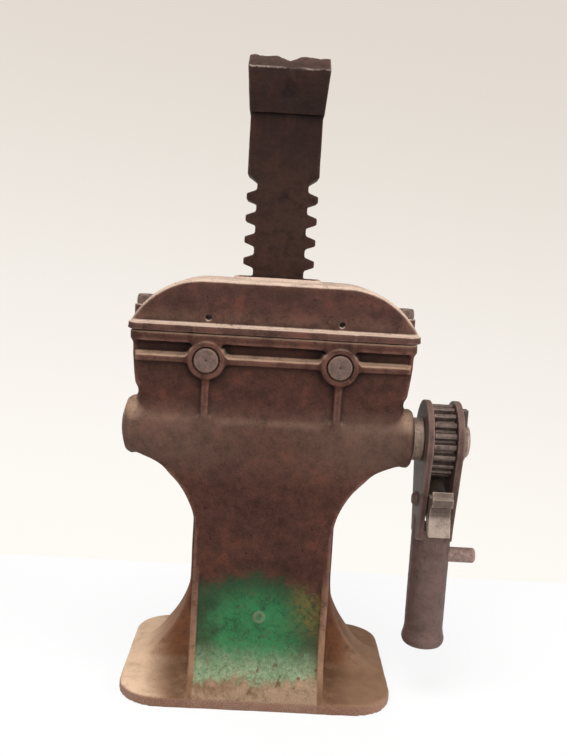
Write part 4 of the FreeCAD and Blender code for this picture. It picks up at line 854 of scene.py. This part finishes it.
class TRACKJACK_OT_bar(bpy.types.Operator):
    """Skin of the toothed lifting bar and its head"""

    bl_idname = "track_jack.bar"
    bl_label = "Lifting bar"

    def execute(self, context):
        jack = context.scene.track_jack
        dense_piece("bar_skin", ["lifting_bar"], "bar", bar_finish(),
                    jack.bar_grid, 2, 0.0004, 0.012, shape=bruise_head)
        return {"FINISHED"}


class TRACKJACK_OT_handle(bpy.types.Operator):
    """Skins of the ratchet handle, with its fork and socket, and of the crank peg"""

    bl_idname = "track_jack.handle"
    bl_label = "Ratchet handle"

    def execute(self, context):
        jack = context.scene.track_jack
        dense_piece("handle_skin", ["handle"], "handle", handle_finish(),
                    jack.handle_grid, 3, 0.0003, 0.012)
        peg = steel_finish("peg_steel")
        dense_piece("peg_skin", ["crank_peg"], "handle", peg, jack.fine_grid, 3)
        return {"FINISHED"}


class TRACKJACK_OT_ratchet(bpy.types.Operator):
    """Skins of the ratchet wheel, the pawl, the collars on the worm shaft and the cotter"""

    bl_idname = "track_jack.ratchet"
    bl_label = "Ratchet and pawl"

    def execute(self, context):
        grid = context.scene.track_jack.fine_grid
        wheel = steel_finish("ratchet_steel")
        dense_piece("ratchet_skin", ["ratchet_wheel"], "worm", wheel, grid, 4)
        dense_piece("pawl_skin", ["pawl"], "pawl", pawl_finish(), grid, 5,
                    0.0003, 0.006, shape=flare_tab)
        collar = steel_finish("collar_steel")
        dense_piece("shaft_collar_skin", ["shaft_collar", "collar_pin"], "worm",
                    collar, grid, 3)
        dense_piece("end_collar_skin", ["end_collar"], "worm", collar, grid, 3)
        key = steel_finish("cotter_steel")
        dense_piece("cotter_skin", ["end_cotter"], "worm", key, grid, 3)
        return {"FINISHED"}


class TRACKJACK_OT_pins(bpy.types.Operator):
    """Skins of the wheel pins and of the pawl pin"""

    bl_idname = "track_jack.pins"
    bl_label = "Pins"

    def execute(self, context):
        grid = context.scene.track_jack.fine_grid
        pin = steel_finish("pin_steel")
        dense_piece("left_pin_skin", ["left_wheel_pin"], "root", pin, grid, 3)
        dense_piece("right_pin_skin", ["right_wheel_pin"], "root", pin, grid, 3)
        dense_piece("pawl_pin_skin", ["pawl_pin"], "handle", pin, grid, 3)
        return {"FINISHED"}


class TRACKJACK_OT_gears(bpy.types.Operator):
    """Oily steel, bronze and iron on the pieces inside the case"""

    bl_idname = "track_jack.gears"
    bl_label = "Gears and shaft"

    def execute(self, context):
        for steel, nodes in DRESSED:
            material = steel_finish(steel)
            for node in nodes:
                dress_node(node, material)
        return {"FINISHED"}


def seen_directly(finish):
    """1 for the camera and in reflections, 0 where the surface only gives light to others."""
    path = finish.tree.nodes.new("ShaderNodeLightPath")
    camera, glossy, through = (Wire(finish, path.outputs[name]) for name in
                               ("Is Camera Ray", "Is Glossy Ray", "Is Transmission Ray"))
    return camera.most(glossy).most(through)


def table_finish():
    """Matt white that keeps the jack's shadow and shows as white."""
    finish = Finish("white_table")
    matt = finish.node("ShaderNodeBsdfDiffuse", {}, {"Color": TABLE_WHITE})
    glow = finish.node("ShaderNodeEmission", {}, {"Color": TABLE_GLOW, "Strength": 1.0})
    share = seen_directly(finish) * TABLE_GLOW_SHARE
    return finish.close(finish.node("ShaderNodeMixShader", {}, {0: share, 1: matt, 2: glow}))


def room_world(strength):
    """Off-white room with painted light on the wall: whiter towards the table and a little darker
    high on the right.
    """
    finish = Finish("soft_room", bpy.data.worlds.new("soft_room"))
    way = finish.node("ShaderNodeTexCoord", {}, {}, "Generated")
    high = (finish.axis("Z", way) + finish.axis("X", way) * 0.1).rise(-0.38, 0.34)
    shown = high.colour(ROOM_LOW, ROOM_HIGH)
    light = finish.node("ShaderNodeBackground", {}, {"Color": ROOM_LIGHT, "Strength": strength})
    wall = finish.node("ShaderNodeBackground", {}, {"Color": shown, "Strength": 1.0})
    values = {0: seen_directly(finish), 1: light, 2: wall}
    return finish.close(finish.node("ShaderNodeMixShader", {}, values), "ShaderNodeOutputWorld")


def add_table():
    """One flat sheet that ends a little behind the jack."""
    mesh = bpy.data.meshes.new("table_top")
    mesh.from_pydata([(-TABLE_SIDE, TABLE_FRONT, 0), (TABLE_SIDE, TABLE_FRONT, 0),
                      (TABLE_SIDE, TABLE_EDGE, 0), (-TABLE_SIDE, TABLE_EDGE, 0)],
                     [], [(0, 1, 2, 3)])
    sheet = add_object("table_top", mesh)
    mesh.materials.append(table_finish())


def add_lamp(name, place, aim, width, power):
    lamp = bpy.data.lights.new(name, "AREA")
    lamp.shape = "SQUARE"
    lamp.size = width
    lamp.energy = power
    holder = add_object(name, lamp)
    holder.location = place
    holder.rotation_mode = "QUATERNION"
    holder.rotation_quaternion = (Vector(aim) - Vector(place)).to_track_quat("-Z", "Y")


def photo_camera():
    """Camera at the photograph's place, with its turn and its slight roll."""
    yaw, pitch, roll = (math.radians(v) for v in (CAMERA_YAW, CAMERA_PITCH, CAMERA_ROLL))
    level = Vector((math.sin(yaw), math.cos(yaw), 0))
    right = Vector((math.cos(yaw), -math.sin(yaw), 0))
    ahead = level * math.cos(pitch) - Vector((0, 0, 1)) * math.sin(pitch)
    above = Vector((0, 0, 1)) * math.cos(pitch) + level * math.sin(pitch)
    across = right * math.cos(roll) + above * math.sin(roll)
    upward = above * math.cos(roll) - right * math.sin(roll)
    data = bpy.data.cameras.new("photo_camera")
    data.sensor_fit = "AUTO"
    data.sensor_width = SENSOR_WIDTH
    data.lens = FOCAL * SENSOR_WIDTH / max(FRAME_WIDTH, FRAME_HEIGHT)
    data.clip_start = CLIP_START
    data.clip_end = CLIP_END
    camera = add_object("photo_camera", data)
    turn = Matrix((across, upward, -ahead)).transposed().to_4x4()
    camera.matrix_world = Matrix.Translation(Vector(CAMERA_PLACE)) @ turn
    bpy.context.scene.camera = camera


class TRACKJACK_OT_stage(bpy.types.Operator):
    """White table, off-white room, soft lamps and the camera"""

    bl_idname = "track_jack.stage"
    bl_label = "Stage"

    def execute(self, context):
        jack = context.scene.track_jack
        add_table()
        for name, place, aim, width, share in LAMPS:
            add_lamp(name, place, aim, width, jack.lamp_power * share)
        context.scene.world = room_world(jack.room_light)
        context.scene.view_settings.view_transform = "Standard"
        photo_camera()
        return {"FINISHED"}


class TRACKJACK_PT_panel(bpy.types.Panel):
    """Settings and buttons for every piece of the jack"""

    bl_idname = "TRACKJACK_PT_panel"
    bl_label = "Track jack"
    bl_space_type = "VIEW_3D"
    bl_region_type = "UI"
    bl_category = "Track jack"

    def draw(self, context):
        for name in TrackJackSettings.__annotations__:
            self.layout.prop(context.scene.track_jack, name)
        for operator in OPERATORS:
            self.layout.operator(operator.bl_idname)


OPERATORS = (TRACKJACK_OT_stage, TRACKJACK_OT_body, TRACKJACK_OT_cover, TRACKJACK_OT_bar,
             TRACKJACK_OT_handle, TRACKJACK_OT_ratchet, TRACKJACK_OT_pins, TRACKJACK_OT_gears)
CLASSES = (TrackJackSettings,) + OPERATORS + (TRACKJACK_PT_panel,)


def register():
    for item in CLASSES:
        bpy.utils.register_class(item)
    bpy.types.Scene.track_jack = bpy.props.PointerProperty(type=TrackJackSettings)


def unregister():
    del bpy.types.Scene.track_jack
    for item in reversed(CLASSES):
        bpy.utils.unregister_class(item)


def main():
    register()
    bpy.ops.track_jack.stage()
    bpy.ops.track_jack.body()
    bpy.ops.track_jack.cover()
    bpy.ops.track_jack.bar()
    bpy.ops.track_jack.handle()
    bpy.ops.track_jack.ratchet()
    bpy.ops.track_jack.pins()
    bpy.ops.track_jack.gears()


if __name__ == "__main__":
    main()
